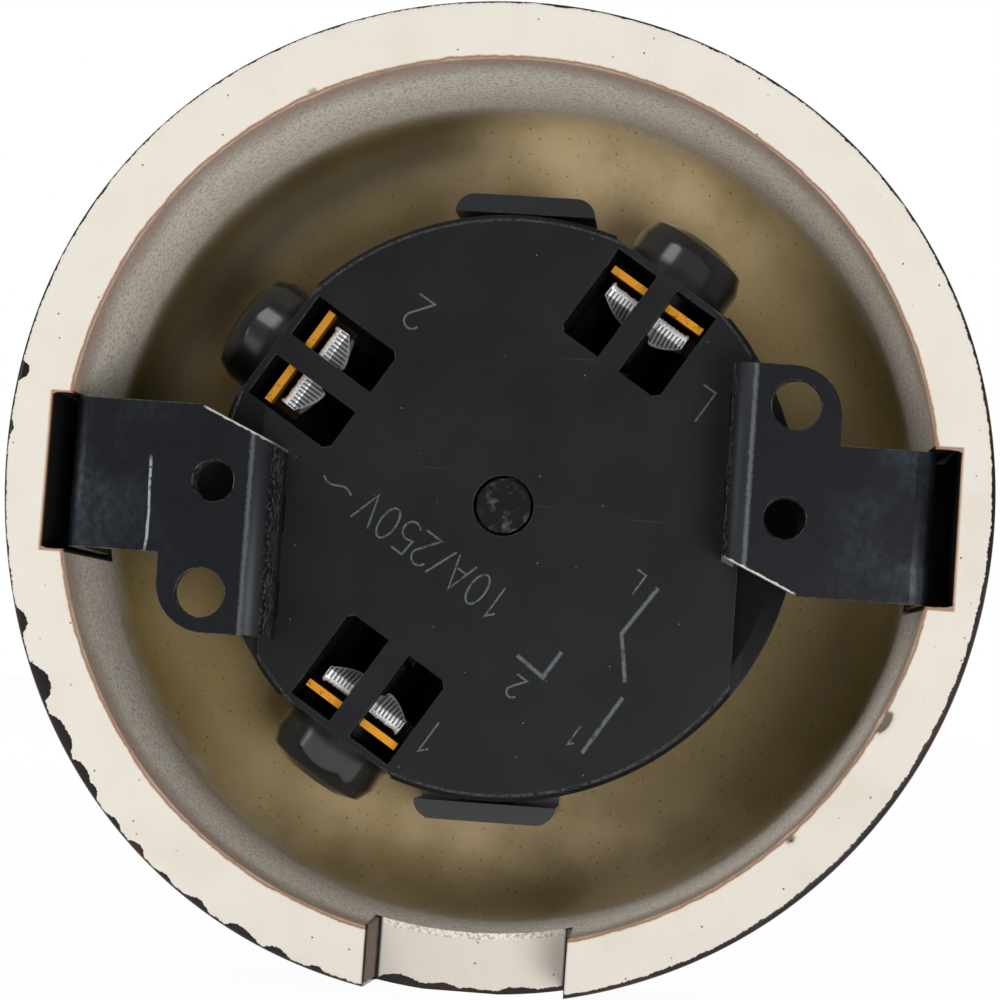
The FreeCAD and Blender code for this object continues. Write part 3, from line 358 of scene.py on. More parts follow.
    # outer glaze: a thin ragged line round the foot, with bites at the lower left
    edge = addNode(tree, "Math", [ragged, 0.35, radius], operation="MULTIPLY_ADD")
    edge = addNode(tree, "Math", [edge, crept], operation="ADD")
    edge = addNode(tree, "Math", [grit, 0.2, edge], operation="MULTIPLY_ADD")
    outer = addNode(tree, "MapRange", {0: edge, 1: 40.36, 2: 40.42})
    outer = addNode(tree, "Math", [outer, outside], operation="MAXIMUM")
    tone = addNode(tree, "MapRange", {0: cloud, 1: 0.45, 2: 0.75, 4: 0.35}, interpolation_type="SMOOTHSTEP")
    glaze = addNode(tree, "Mix", {0: tone, 6: tint["outerGlaze"], 7: tint["scorch"]}, 2, data_type="RGBA")
    colour = addNode(tree, "Mix", {0: outer, 6: body, 7: glaze}, 2, data_type="RGBA")

    # dry foot and wall, satin floor, wet-looking outside
    satin = addNode(tree, "Math", [toFloor, -0.3, 0.85], operation="MULTIPLY_ADD")
    gloss = addNode(tree, "Math", [outer, -0.65, satin], operation="MULTIPLY_ADD")
    gloss = addNode(tree, "Math", [gloss, 0.14], operation="MAXIMUM")
    height = addNode(tree, "Math", [grit, 0.3, cloud], operation="MULTIPLY_ADD")
    height = addNode(tree, "Math", [pinhole, -1.5, height], operation="MULTIPLY_ADD")
    bump = addNode(tree, "Bump", {"Height": height, "Strength": 0.3, "Distance": 0.12 * mm})
    shader = addNode(tree, "BsdfPrincipled", {"Base Color": colour, "Roughness": gloss, "Normal": bump, "IOR": 1.5,
                                              "Specular IOR Level": 0.3})
    addNode(tree, "OutputMaterial", [shader])
    return material


housing = ceramicShell()
housing.data.materials.append(stonewareMaterial())
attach(housing, "frame")
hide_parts("ceramic_housing")
print("ceramic shell made,", len(housing.data.polygons), "quads")


jaw = {
    "angles": {"L": 57.5, "2": 147.5, "1": 237.5}, "outer": 20.6, "screwDepth": 13.5,
    "near": 1.15, "far": 3.95, "top": 2.72, "ridge": 0.36, "ridgeHeight": 0.1, "horn": 0.17,
}


def clampJaws(mark, angle):
    # the two gripping ends of a clamp, as a section carried along the tangent: a flat top with a
    # ragged sheared outer edge that ends in a horn, a slope with ridges across it whose lower
    # edge draws back in a curve towards the end, and a back inside the sheet
    points, faces, grooveShades = [], [], []
    for side in (-1, 1):
        run = np.linspace(jaw["near"], jaw["far"], 90)
        share = np.clip((run - 1.4) / 2.5, 0, 1)
        ragged = waves(run * 3, 21 + side, (2, 5, 9, 13), 0.07)
        horn = jaw["horn"] * np.exp(-((run - 3.8) / 0.16) ** 2)
        outer = 0.02 + np.clip(ragged, -0.12, 0.06) + horn
        inner = -1.0 + waves(run * 2, 31 + side, (3, 7), 0.03)
        low = np.minimum(-2.12 + 1.02 * share ** 1.7, inner - 0.1)
        top = jaw["top"] + 0.05 * np.exp(-((run - 3.8) / 0.2) ** 2)
        slope = 2.0 / 1.1
        ridges = jaw["ridgeHeight"] * (0.5 + 0.5 * np.cos(2 * math.pi * run / jaw["ridge"]))
        flat = -0.4 + waves(run * 3, 41 + side, (2, 7, 11), 0.05)
        onFlat = flat + (inner - flat) * np.linspace(0.05, 0.85, 4)[:, None]
        steps = np.linspace(0.08, 0.86, 7)[:, None]
        onSlope = inner + (low - inner) * steps
        heights = top - (inner - onSlope) * slope
        lift = ridges[None, :] * np.sin(math.pi * (steps - 0.02) / 0.9) ** 0.5
        lowest = top - (inner - low) * slope
        section = [
            (outer - 0.05, top - 0.4), (outer, top - 0.1), (outer - 0.06, top), (flat, top + 0.015),
            *zip(onFlat, top + 0.2 * ridges[None, :] + np.zeros((4, 1))), (inner, top),
            *zip(onSlope - 0.876 * lift, heights + 0.48 * lift),
            (low - 0.07, lowest + 0.1), (low - 0.1, lowest - 0.02), (low, lowest - 0.1),
            (low + 0.35, lowest - 0.05), (inner + 0.3, top - 0.5),
        ]
        loop = np.stack([np.stack(np.broadcast_arrays(r, h), -1) for r, h in section])
        count = len(section)
        out, level = jaw["outer"] + loop[..., 0], jaw["screwDepth"] - loop[..., 1]
        tangent = np.broadcast_to(side * run, out.shape)
        turn = math.radians(angle)
        u = out * math.cos(turn) - tangent * math.sin(turn)
        v = out * math.sin(turn) + tangent * math.cos(turn)
        start = len(points)
        # painted shade for the grooves between the ridges, kept as a point attribute
        cut = np.zeros(out.shape)
        cut[4:16] = 0.5 - 0.5 * np.cos(2 * math.pi * run / jaw["ridge"])
        grooveShades += cut.ravel().tolist()
        points += np.stack([-u, -level, v], -1).reshape(-1, 3).tolist()
        quads = gridFaces(count, len(run), True, False, start)
        ends = [[start + k * len(run) for k in range(count)],
                [start + k * len(run) + len(run) - 1 for k in range(count)][::-1]]
        faces += [face[::side] for face in quads + ends]
    piece = meshPiece("clamp_jaws_" + mark, np.array(points) * mm, faces)
    piece.data.attributes.new("grooveShade", "FLOAT", "POINT").data.foreach_set("value", grooveShades)
    return piece


marks = {
    "textAngle": 147.5, "base": 8.0, "height": 0.09, "figure": 0.11, "line": 0.2,
    "rating": [("1", -4.2), ("0", -2.4), ("A", -0.4), ("/", 1.4), ("2", 3.1), ("5", 4.9),
               ("0", 6.9), ("V", 8.9), ("~", 12.2)],
    "ratingAt": 6.85, "ratingTall": 2.85,
    "others": [("2", 15.4, -8.7, 2.9), ("L", -8.1, -16.5, 2.9), ("1", -6.4, 19.1, 2.9),
               ("L", -12.6, -1.4, 1.9), ("1", -16.0, 11.8, 1.9), ("2", -9.75, 11.5, 1.9)],
    "circuit": [[(-14.4, -2.1), (-14.2, 2.7), (-16.8, 5.8)], [(-17.4, 6.9), (-17.4, 12.6)],
                [(-8.3, 9.3), (-11.1, 9.5), (-11.1, 6.9)]],
}


def figureStrokes(figure):
    # a figure as lines in a box one unit tall about its own middle
    bend = np.linspace(0, 2 * math.pi, 25)
    if figure == "0":
        return [np.stack([0.24 * np.sin(bend), 0.5 * np.cos(bend)], 1)]
    if figure == "1":
        return [np.array([(0, -0.5), (0, 0.5), (-0.2, 0.28)])]
    if figure == "A":
        return [np.array([(-0.3, -0.5), (0, 0.5), (0.3, -0.5)]), np.array([(-0.19, -0.15), (0.19, -0.15)])]
    if figure == "V":
        return [np.array([(-0.3, 0.5), (0, -0.5), (0.3, 0.5)])]
    if figure == "L":
        return [np.array([(-0.2, 0.5), (-0.2, -0.5), (0.25, -0.5)])]
    if figure == "/":
        return [np.array([(-0.2, -0.5), (0.2, 0.5)])]
    if figure == "~":
        along = np.linspace(-0.5, 0.5, 15)
        return [np.stack([along, 0.09 * np.sin(2 * math.pi * along)], 1)]
    if figure == "2":
        arc = np.linspace(math.radians(165), math.radians(-30), 13)
        top = np.stack([0.24 * np.cos(arc), 0.26 + 0.24 * np.sin(arc)], 1)
        return [np.concatenate([top, [(-0.26, -0.5), (0.28, -0.5)]])]
    arc = np.linspace(math.radians(130), math.radians(-145), 15)
    belly = np.stack([0.01 + 0.25 * np.cos(arc), -0.22 + 0.28 * np.sin(arc)], 1)
    return [np.concatenate([[(0.22, 0.5), (-0.16, 0.5), (-0.2, 0.02)], belly[2:]])]


def raisedMarks():
    # each stroke is a low ridge with sloping sides: at every point of its line, four points
    # stand across it, joined at the corners along the half angle
    points, faces = [], []

    def ridge(line, half):
        line = np.array(line, float)
        step = np.diff(line, axis=0)
        step /= np.linalg.norm(step, axis=1)[:, None]
        ahead = np.vstack([step, step[-1:]]) + np.vstack([step[:1], step])
        ahead /= np.linalg.norm(ahead, axis=1)[:, None]
        sharp = np.clip(np.sum(ahead * np.vstack([step, step[-1:]]), 1), 0.45, 1)
        across = np.stack([-ahead[:, 1], ahead[:, 0]], 1) / sharp[:, None]
        start = len(points)
        for offset, rise in ((-1, -0.05), (-0.55, 1), (0.55, 1), (1, -0.05)):
            place = line + across * half * offset
            turn = math.radians(marks["textAngle"])
            u = place[:, 0] * math.cos(turn) - place[:, 1] * math.sin(turn)
            v = place[:, 0] * math.sin(turn) + place[:, 1] * math.cos(turn)
            level = np.full(len(u), -marks["base"] + rise * marks["height"])
            points.extend(np.stack([-u, level, v], 1).tolist())
        count = len(line)
        faces.extend(gridFaces(4, count, True, False, start))
        faces.extend([[start + k * count for k in range(4)], [start + k * count + count - 1 for k in (3, 2, 1, 0)]])

    for figure, place in marks["rating"]:
        for stroke in figureStrokes(figure):
            ridge(stroke * marks["ratingTall"] + (place, marks["ratingAt"]), marks["figure"])
    for figure, right, up, tall in marks["others"]:
        for stroke in figureStrokes(figure):
            ridge(stroke * tall + (right, up), marks["figure"])
    for line in marks["circuit"]:
        ridge(line, marks["line"])
    return meshPiece("raised_marks", np.array(points) * mm, faces, smooth=False)


def facesOutwards(piece):
    import bmesh
    work = bmesh.new()
    work.from_mesh(piece.data)
    bmesh.ops.recalc_face_normals(work, faces=work.faces)
    work.to_mesh(piece.data)
    work.free()


for mark, angle in jaw["angles"].items():
    jaws = clampJaws(mark, angle)
    facesOutwards(jaws)
    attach(jaws, "clamp_" + mark)
figures = raisedMarks()
facesOutwards(figures)
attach(figures, "frame")
print("clamp jaws and raised marks made")


moulded = {
    "black_thermoset": {"skin": "131517", "tone": "0c0e0f", "dust": "5e6366", "rough": 0.42, "grain": 0.25,
                        "speckle": 0.6, "level": 0.2},
    "polished_thermoset": {"skin": "1d1917", "tone": "141110", "dust": "46403b", "rough": 0.2, "grain": 0.5,
                          "speckle": 0.3, "level": 0.5},
    "vulcanised_fibre": {"skin": "6e2f1c", "tone": "55230f", "dust": "8a5440", "rough": 0.7, "grain": 0.18,
                        "speckle": 0.2, "level": 0.4},
}


def mouldedMaterial(name):
    # thermoset from a polished steel mould: an even satin skin over a fine mineral grain, soft
    # clouds where the charge flowed, sparse light specks of dust and a few hair-thin scratches
    s = moulded[name]
    material, tree, spot = startMaterial(name)
    grain = addNode(tree, "TexNoise", {0: spot, "Scale": 1000 / s["grain"], "Detail": 2.0, "Roughness": 0.6})
    cloud = addNode(tree, "TexNoise", {0: spot, "Scale": 1000 / 8.0, "Detail": 4.0, "Roughness": 0.55})
    tone = addNode(tree, "MapRange", {0: cloud, 1: 0.35, 2: 0.68}, interpolation_type="SMOOTHSTEP")
    colour = addNode(tree, "Mix", {0: tone, 6: linear(s["tone"]), 7: linear(s["skin"])}, 2, data_type="RGBA")
    cells = {0: spot, "Scale": 1000 / 1.7}
    nearest = addNode(tree, "TexVoronoi", cells)
    kind = addNode(tree, "SeparateColor", [addNode(tree, "TexVoronoi", cells, 1)])
    kind = addNode(tree, "Math", [kind, s["speckle"]], operation="LESS_THAN")
    dust = addNode(tree, "MapRange", {0: nearest, 1: 0.05, 2: 0.03, 4: kind})
    long = addNode(tree, "Mapping",
                   {"Vector": spot, "Rotation": (0.0, 0.6, 0.0), "Scale": (60.0, 400.0, 3000.0)})
    scratch = addNode(tree, "TexNoise", {0: long, "Scale": 1.0, "Detail": 1.0})
    scratch = addNode(tree, "MapRange", {0: scratch, 1: 0.77, 2: 0.8, 4: 0.15})
    light = addNode(tree, "Math", [dust, scratch], operation="MAXIMUM")
    colour = addNode(tree, "Mix", {0: light, 6: colour, 7: linear(s["dust"])}, 2, data_type="RGBA")
    # painted shade: the inside of the mechanism is painted near black, so nothing shows in the wire windows
    flat = addNode(tree, "VectorMath", [spot, (1.0, 0.0, 1.0)], operation="MULTIPLY")
    reach = addNode(tree, "VectorMath", [flat], 1, operation="LENGTH")
    within = addNode(tree, "MapRange", {0: reach, 1: 23.2 * mm, 2: 23.0 * mm})
    below = addNode(tree, "SeparateXYZ", [spot], 1)
    below = addNode(tree, "MapRange", {0: below, 1: -8.15 * mm, 2: -8.5 * mm, 4: 0.95})
    paintedShade = addNode(tree, "Math", [within, below], operation="MULTIPLY")
    # and so is the side below the holes of the straps, in painted shade
    x, z = (addNode(tree, "Math", [addNode(tree, "SeparateXYZ", [spot], k)], operation="ABSOLUTE") for k in (0, 2))
    x = addNode(tree, "MapRange", {0: x, 1: 20.4 * mm, 2: 20.6 * mm})
    z = addNode(tree, "MapRange", {0: z, 1: 17.0 * mm, 2: 5.0 * mm, 4: 0.95})
    paintedShade = addNode(tree, "Math", [paintedShade, addNode(tree, "Math", [x, z], operation="MULTIPLY")],
                   operation="MAXIMUM")
    colour = addNode(tree, "Mix", {0: paintedShade, 6: colour, 7: linear("020202")}, 2, data_type="RGBA")
    rough = addNode(tree, "Math", [cloud, 0.16, s["rough"] - 0.08], operation="MULTIPLY_ADD")
    if name == "black_thermoset":
        # the round collars are polished, and the rounded edges round the windows that lean towards the open back are
        # painted light grey as a painted highlight
        collar = addNode(tree, "MapRange", {0: reach, 1: 24.3 * mm, 2: 24.9 * mm})
        rough = addNode(tree, "Math", [collar, -0.24, rough], operation="MULTIPLY_ADD")
        facing = addNode(tree, "SeparateXYZ", [addNode(tree, "TexCoord", output="Normal")], 1)
        lightened = addNode(tree, "MapRange", {0: facing, 1: 0.25, 2: 0.4})
        facing = addNode(tree, "MapRange", {0: facing, 1: 0.97, 2: 0.9})
        high = addNode(tree, "SeparateXYZ", [spot], 1)
        high = addNode(tree, "MapRange", {0: high, 1: -8.3 * mm, 2: -8.2 * mm})
        lightened = addNode(tree, "Math", [addNode(tree, "Math", [lightened, facing], operation="MULTIPLY"), high],
                         operation="MULTIPLY")
        lightened = addNode(tree, "Math", [lightened, addNode(tree, "MapRange", {0: grain, 1: 0.35, 2: 0.6, 4: 0.6})],
                         operation="MULTIPLY")
        colour = addNode(tree, "Mix", {0: lightened, 6: colour, 7: linear(s["dust"])}, 2, data_type="RGBA")
    height = addNode(tree, "Math", [dust, 1.2, grain], operation="MULTIPLY_ADD")
    bump = addNode(tree, "Bump", {"Height": height, "Strength": 0.25, "Distance": 0.03 * mm})
    rough = addNode(tree, "Math", [paintedShade, 0.4, rough], operation="MULTIPLY_ADD")
    inputs = {"Base Color": colour, "Roughness": rough, "Normal": bump, "IOR": 1.5, "Specular IOR Level": s["level"]}
    if name == "black_thermoset":
        inputs.update({"Coat Weight": collar, "Coat Roughness": 0.16})
    addNode(tree, "OutputMaterial", [addNode(tree, "BsdfPrincipled", inputs)])
    return material


figurePaint = {"lightened": "53575a", "skin": "26282a", "rough": 0.45}


def figureMaterial():
    # the raised figures are the same thermoset, rubbed to a dusty grey along their tops
    material, tree, spot = startMaterial("rubbed_thermoset")
    rub = addNode(tree, "TexNoise", {0: spot, "Scale": 1000 / 0.5, "Detail": 3.0, "Roughness": 0.7})
    rub = addNode(tree, "MapRange", {0: rub, 1: 0.36, 2: 0.5}, interpolation_type="SMOOTHSTEP")
    colour = addNode(tree, "Mix", {0: rub, 6: linear(figurePaint["skin"]), 7: linear(figurePaint["lightened"])},
                     2, data_type="RGBA")
    bump = addNode(tree, "Bump", {"Height": rub, "Strength": 0.4, "Distance": 0.03 * mm})
    shader = addNode(tree, "BsdfPrincipled", {"Base Color": colour, "Roughness": figurePaint["rough"],
                                              "Normal": bump, "IOR": 1.5})
    addNode(tree, "OutputMaterial", [shader])
    return material


strap = {
    "skin": "15161a", "bluishStreak": "3f484f", "band": "303336", "edge": "c9c6bc", "fleck": "b0b5b8",
    "shornAndLit": "978e80", "paintedShade": "030303", "rough": 0.42, "bend": 19.2, "tapped": 23.1, "scratchAt": 28.35,
    "slantTurn": (0.412, 0.911, 0.0), "slantAt": 4.446,
}


def strapMaterial():
    # cold-rolled steel strip, black passivated: dark with bluish-grey streaks towards its outer end,
    # bright bare metal on the sheared slanted edge, flecks along the bend, a painted highlight along the bend and
    # its rounded edges, and one long scratch
    material, tree, spot = startMaterial("black_passivated_steel")
    x, y, z = (addNode(tree, "SeparateXYZ", [spot], k) for k in range(3))
    out = addNode(tree, "Math", [addNode(tree, "Math", [x], operation="ABSOLUTE"), 1000.0],
                  operation="MULTIPLY")
    side = addNode(tree, "Math", [x], operation="SIGN")
    up = addNode(tree, "Math", [addNode(tree, "Math", [z, side], operation="MULTIPLY"), -1000.0],
                 operation="MULTIPLY")
    smear = addNode(tree, "Mapping",
                    {"Vector": spot, "Rotation": (0.0, 0.5, 0.0), "Scale": (1500.0, 1500.0, 1100.0)})
    smear = addNode(tree, "TexNoise", {0: smear, "Scale": 1.0, "Detail": 4.0, "Roughness": 0.65})
    patch = addNode(tree, "TexNoise", {0: spot, "Scale": 1000 / 6.0, "Detail": 3.0})
    fleck = addNode(tree, "TexNoise", {0: spot, "Scale": 1000 / 0.45, "Detail": 3.0, "Roughness": 0.7})
    outer = addNode(tree, "MapRange", {0: out, 1: 24.0, 2: 35.0, 3: 0.06, 4: 0.75},
                    interpolation_type="SMOOTHSTEP")
    lightened = addNode(tree, "MapRange", {0: smear, 1: 0.3, 2: 0.74, 3: 0.15}, interpolation_type="SMOOTHSTEP")
    patch = addNode(tree, "MapRange", {0: patch, 1: 0.38, 2: 0.66, 3: 0.1}, interpolation_type="SMOOTHSTEP")
    bluishStreak = addNode(tree, "Math", [addNode(tree, "Math", [outer, lightened], operation="MULTIPLY"), patch],
                    operation="MULTIPLY")
    colour = addNode(tree, "Mix", {0: bluishStreak, 6: linear(strap["skin"]), 7: linear(strap["bluishStreak"])}, 2,
                     data_type="RGBA")

    # painted highlight: a soft light line where the flange starts to bend and a lighter grey over the bend and
    # flange; bright flecks on the flange below it
    offBend = addNode(tree, "Math", [out, strap["bend"] + 0.9], operation="SUBTRACT")
    offBend = addNode(tree, "Math",
                      [addNode(tree, "Math", [fleck, 0.4, offBend], operation="MULTIPLY_ADD"), 0.2], operation="SUBTRACT")
    offBend = addNode(tree, "Math", [offBend], operation="ABSOLUTE")
    bendHighlight = addNode(tree, "MapRange", {0: offBend, 1: 0.3, 2: 0.0, 4: 0.22}, interpolation_type="SMOOTHSTEP")
    flange = addNode(tree, "MapRange", {0: out, 1: 19.1, 2: 18.8})
    strip = addNode(tree, "Math", [addNode(tree, "Math", [y, -1000.0], operation="MULTIPLY"), 3.4],
                    operation="SUBTRACT")
    strip = addNode(tree, "MapRange", {0: addNode(tree, "Math", [strip], operation="ABSOLUTE"), 1: 2.9, 2: 2.0})
    flange = addNode(tree, "Math", [flange, strip], operation="MULTIPLY")
    # lighter grey over the bend and the flange: painted highlight
    band = addNode(tree, "MapRange", {0: out, 1: strap["bend"] + 0.95, 2: strap["bend"] + 0.75, 4: 0.7})
    colour = addNode(tree, "Mix", {0: band, 6: colour, 7: linear(strap["band"])}, 2, data_type="RGBA")
    flecks = addNode(tree, "MapRange", {0: fleck, 1: 0.5, 2: 0.6})
    flecks = addNode(tree, "Math", [addNode(tree, "Math", [flecks, flange], operation="MULTIPLY"), 0.8],
                     operation="MULTIPLY")
    # the tapped hole is painted black inside: painted shade
    hole = addNode(tree, "CombineXYZ", [out, up, 0.0])
    hole = addNode(tree, "VectorMath", [hole, (strap["tapped"], 0.0, 0.0)], 1, operation="DISTANCE")
    hole = addNode(tree, "MapRange", {0: hole, 1: 1.8, 2: 1.72, 4: 0.9})
    colour = addNode(tree, "Mix", {0: hole, 6: colour, 7: linear(strap["paintedShade"])}, 2, data_type="RGBA")
    # one scratch across the left strap: a thin wavering line with ragged breaks
    scratch = addNode(tree, "Math",
                      [addNode(tree, "Math", [x, 1000.0], operation="MULTIPLY"), strap["scratchAt"]], operation="SUBTRACT")
    scratch = addNode(tree, "Math", [patch, 0.25, scratch], operation="MULTIPLY_ADD")
    scratch = addNode(tree, "Math", [scratch], operation="ABSOLUTE")
    scratch = addNode(tree, "MapRange", {0: scratch, 1: 0.14, 2: 0.07})
    length = addNode(tree, "Math", [addNode(tree, "Math", [up, 2.2], operation="SUBTRACT")],
                     operation="ABSOLUTE")
    length = addNode(tree, "MapRange", {0: length, 1: 4.0, 2: 3.2})
    broken = addNode(tree, "MapRange", {0: fleck, 1: 0.36, 2: 0.46})
    scratch = addNode(tree, "Math", [addNode(tree, "Math", [scratch, length], operation="MULTIPLY"), broken],
                      operation="MULTIPLY")
    # uncovered flecks and the scratch, together with the painted bend highlight
    bareAndHighlight = addNode(tree, "Math", [addNode(tree, "Math", [bendHighlight, flecks], operation="MAXIMUM"), scratch],
                   operation="MAXIMUM")
    colour = addNode(tree, "Mix", {0: bareAndHighlight, 6: colour, 7: linear(strap["fleck"])}, 2, data_type="RGBA")
    # sheared edge: distance from the slanted line 0.412 (out - 24.5) + 0.911 (up + 6.2)
    bareEdgeAndHighlight = addNode(tree, "VectorMath", [addNode(tree, "CombineXYZ", [out, up, 0.0]), strap["slantTurn"]], 1,
                    operation="DOT_PRODUCT")
    bareEdgeAndHighlight = addNode(tree, "Math", [bareEdgeAndHighlight, strap["slantAt"]], operation="SUBTRACT")
    bareEdgeAndHighlight = addNode(tree, "Math", [fleck, -0.35, bareEdgeAndHighlight], operation="MULTIPLY_ADD")
    bareEdgeAndHighlight = addNode(tree, "MapRange", {0: bareEdgeAndHighlight, 1: 0.02, 2: -0.05})
    near = addNode(tree, "MapRange", {0: out, 1: 24.4, 2: 24.0})
    bareEdgeAndHighlight = addNode(tree, "Math", [bareEdgeAndHighlight, near], operation="MULTIPLY")
    # the other sheared edges and their rounded bevels are lighter in places: partly bare metal, partly painted
    # highlight
    facing = addNode(tree, "SeparateXYZ", [addNode(tree, "TexCoord", output="Normal")], 1)
    facing = addNode(tree, "Math", [facing], operation="ABSOLUTE")
    bevelBareAndLit = addNode(tree, "MapRange", {0: facing, 1: 0.93, 2: 0.8})
    bevelBareAndLit = addNode(tree, "Math", [bevelBareAndLit, addNode(tree, "MapRange", {0: fleck, 1: 0.42, 2: 0.56, 4: 0.5})],
                      operation="MULTIPLY")
    # the rounded side edges of the bent-down end are lighter: partly bare sheared metal, partly painted highlight
    sideways = addNode(tree, "SeparateXYZ", [addNode(tree, "TexCoord", output="Normal")], 2)
    legBevelBareAndLit = addNode(tree, "MapRange",
                  {0: addNode(tree, "Math", [sideways], operation="ABSOLUTE"), 1: 0.4, 2: 0.6})
    legBevelBareAndLit = addNode(tree, "Math", [legBevelBareAndLit, addNode(tree, "MapRange", {0: out, 1: 33.2, 2: 33.4})],
                  operation="MULTIPLY")
    colour = addNode(tree, "Mix", {0: legBevelBareAndLit, 6: colour, 7: linear(strap["shornAndLit"])}, 2, data_type="RGBA")
    arm = addNode(tree, "MapRange", {0: out, 1: 20.6, 2: 21.0})
    arm = addNode(tree, "Math", [arm, addNode(tree, "MapRange", {0: out, 1: 33.6, 2: 33.2})],
                  operation="MULTIPLY")
    bareEdgeAndHighlight = addNode(tree, "Math", [bareEdgeAndHighlight, addNode(tree, "Math", [bevelBareAndLit, arm], operation="MULTIPLY")],
                    operation="MAXIMUM")
    colour = addNode(tree, "Mix", {0: bareEdgeAndHighlight, 6: colour, 7: linear(strap["edge"])}, 2, data_type="RGBA")
    shine = addNode(tree, "Math",
                    [addNode(tree, "Math", [bluishStreak, bareAndHighlight], operation="MAXIMUM"), -0.12, strap["rough"]], operation="MULTIPLY_ADD")
    height = addNode(tree, "Math", [bluishStreak, 0.4, fleck], operation="MULTIPLY_ADD")
    bump = addNode(tree, "Bump", {"Height": height, "Strength": 0.18, "Distance": 0.03 * mm})
    shader = addNode(tree, "BsdfPrincipled",
                     {"Base Color": colour, "Roughness": shine, "Metallic": 0.75, "Normal": bump})
    addNode(tree, "OutputMaterial", [shader])
    return material


metals = {
    "zinc_plated_steel": {"base": "dfe2e4", "worn": "a5a3a4", "rough": 0.38, "worn_rough": 0.5, "patch": 0.9,
                          "low": 0.52, "high": 0.7, "metallic": 0.5},
    "pressed_brass": {"base": "e39a2c", "worn": "5a3008", "rough": 0.34, "worn_rough": 0.6, "patch": 0.55,
                      "low": 0.56, "high": 0.66, "metallic": 0.75, "shadeFrom": 10.6},
    "blackened_spindle_steel": {"base": "191a1b", "worn": "5a5d5e", "rough": 0.34, "worn_rough": 0.45, "patch": 1.1,
                                "low": 0.5, "high": 0.72, "metallic": 0.8},
    "blackened_screw_steel": {"base": "0c0c0d", "worn": "1c1d1e", "rough": 0.5, "worn_rough": 0.6, "patch": 1.1,
                              "low": 0.5, "high": 0.7, "metallic": 0.8},
}


def metalMaterial(name):
    # plated, rolled or blackened metal: an even finish, stained or rubbed in small patches,
    # with fine marks left by the tool that cut it
    s = metals[name]
    material, tree, spot = startMaterial(name)
    patches = addNode(tree, "TexNoise", {0: spot, "Scale": 1000 / s["patch"], "Detail": 4.0, "Roughness": 0.65})
    fine = addNode(tree, "TexNoise", {0: spot, "Scale": 6000 / s["patch"], "Detail": 2.0, "Roughness": 0.6})
    wear = addNode(tree, "MapRange", {0: patches, 1: s["low"], 2: s["high"]}, interpolation_type="SMOOTHSTEP")
    wear = addNode(tree, "Math", [wear, addNode(tree, "MapRange", {0: fine, 1: 0.3, 2: 0.6})],
                   operation="MULTIPLY")
    colour = addNode(tree, "Mix", {0: wear, 6: linear(s["base"]), 7: linear(s["worn"])}, 2, data_type="RGBA")
    if name == "zinc_plated_steel":
        # painted shade in the grooves between the ridges of the clamps
        grooveShade = addNode(tree, "Attribute", output="Fac", attribute_name="grooveShade")
        grooveShade = addNode(tree, "MapRange", {0: grooveShade, 1: 0.45, 2: 0.8, 4: 0.85})
        colour = addNode(tree, "Mix", {0: grooveShade, 6: colour, 7: linear("26282a")}, 2, data_type="RGBA")
    if "shadeFrom" in s:
        # painted shade: what lies deep inside the mechanism is painted near black
        deepShade = addNode(tree, "SeparateXYZ", [spot], 1)
        deepShade = addNode(tree, "MapRange",
                       {0: deepShade, 1: -s["shadeFrom"] * mm, 2: -(s["shadeFrom"] + 0.8) * mm, 4: 0.97})
        front = addNode(tree, "MapRange",
                        {0: addNode(tree, "SeparateXYZ", [spot], 1), 1: -17.3 * mm, 2: -17.1 * mm})
        deepShade = addNode(tree, "Math", [deepShade, front], operation="MULTIPLY")
        colour = addNode(tree, "Mix", {0: deepShade, 6: colour, 7: linear("060402")}, 2, data_type="RGBA")
    rough = addNode(tree, "Math", [wear, s["worn_rough"] - s["rough"], s["rough"]], operation="MULTIPLY_ADD")
    bump = addNode(tree, "Bump", {"Height": fine, "Strength": 0.25, "Distance": 0.03 * mm})
    shader = addNode(tree, "BsdfPrincipled", {"Base Color": colour, "Roughness": rough,
                                              "Metallic": s["metallic"], "Normal": bump})
    addNode(tree, "OutputMaterial", [shader])
    return material


def dress(names, material, width=0.0):
    # gives CAD nodes a material and, where a width in mm is given, small rounded edges
    for name in names.split():
        piece = nodes[name]
        piece.data.materials.clear()
        piece.data.materials.append(material)
        if width:
            weld = piece.modifiers.new("weld", "WELD")
            weld.merge_threshold = 0.002 * mm
            bevel = piece.modifiers.new("edges", "BEVEL")
            bevel.width = width * mm
            bevel.segments = 2
            bevel.limit_method = "ANGLE"
            bevel.angle_limit = math.radians(35)
            bevel.use_clamp_overlap = True


zinc, brass = metalMaterial("zinc_plated_steel"), metalMaterial("pressed_brass")
dress("mechanism_base mechanism_cover rotor", mouldedMaterial("black_thermoset"), 0.12)
dress("knob", mouldedMaterial("polished_thermoset"), 0.3)
dress("fibre_washer", mouldedMaterial("vulcanised_fibre"))
dress("bracket_left bracket_right", strapMaterial(), 0.1)
dress("spindle", metalMaterial("blackened_spindle_steel"), 0.1)
dress("detent_springs knob_grub_screw", zinc)
dress("terminal_clamp_L terminal_clamp_2 terminal_clamp_1", zinc, 0.08)
dress("terminal_screw_L terminal_screw_2 terminal_screw_1", metalMaterial("blackened_screw_steel"))
dress("threaded_bush ring_nut contact_bridge contact_strip_L contact_strip_2 contact_strip_1", brass)
for mark in jaw["angles"]:
    bpy.data.objects["clamp_jaws_" + mark].data.materials.append(zinc)
figures.data.materials.append(figureMaterial())
print("mechanism dressed")


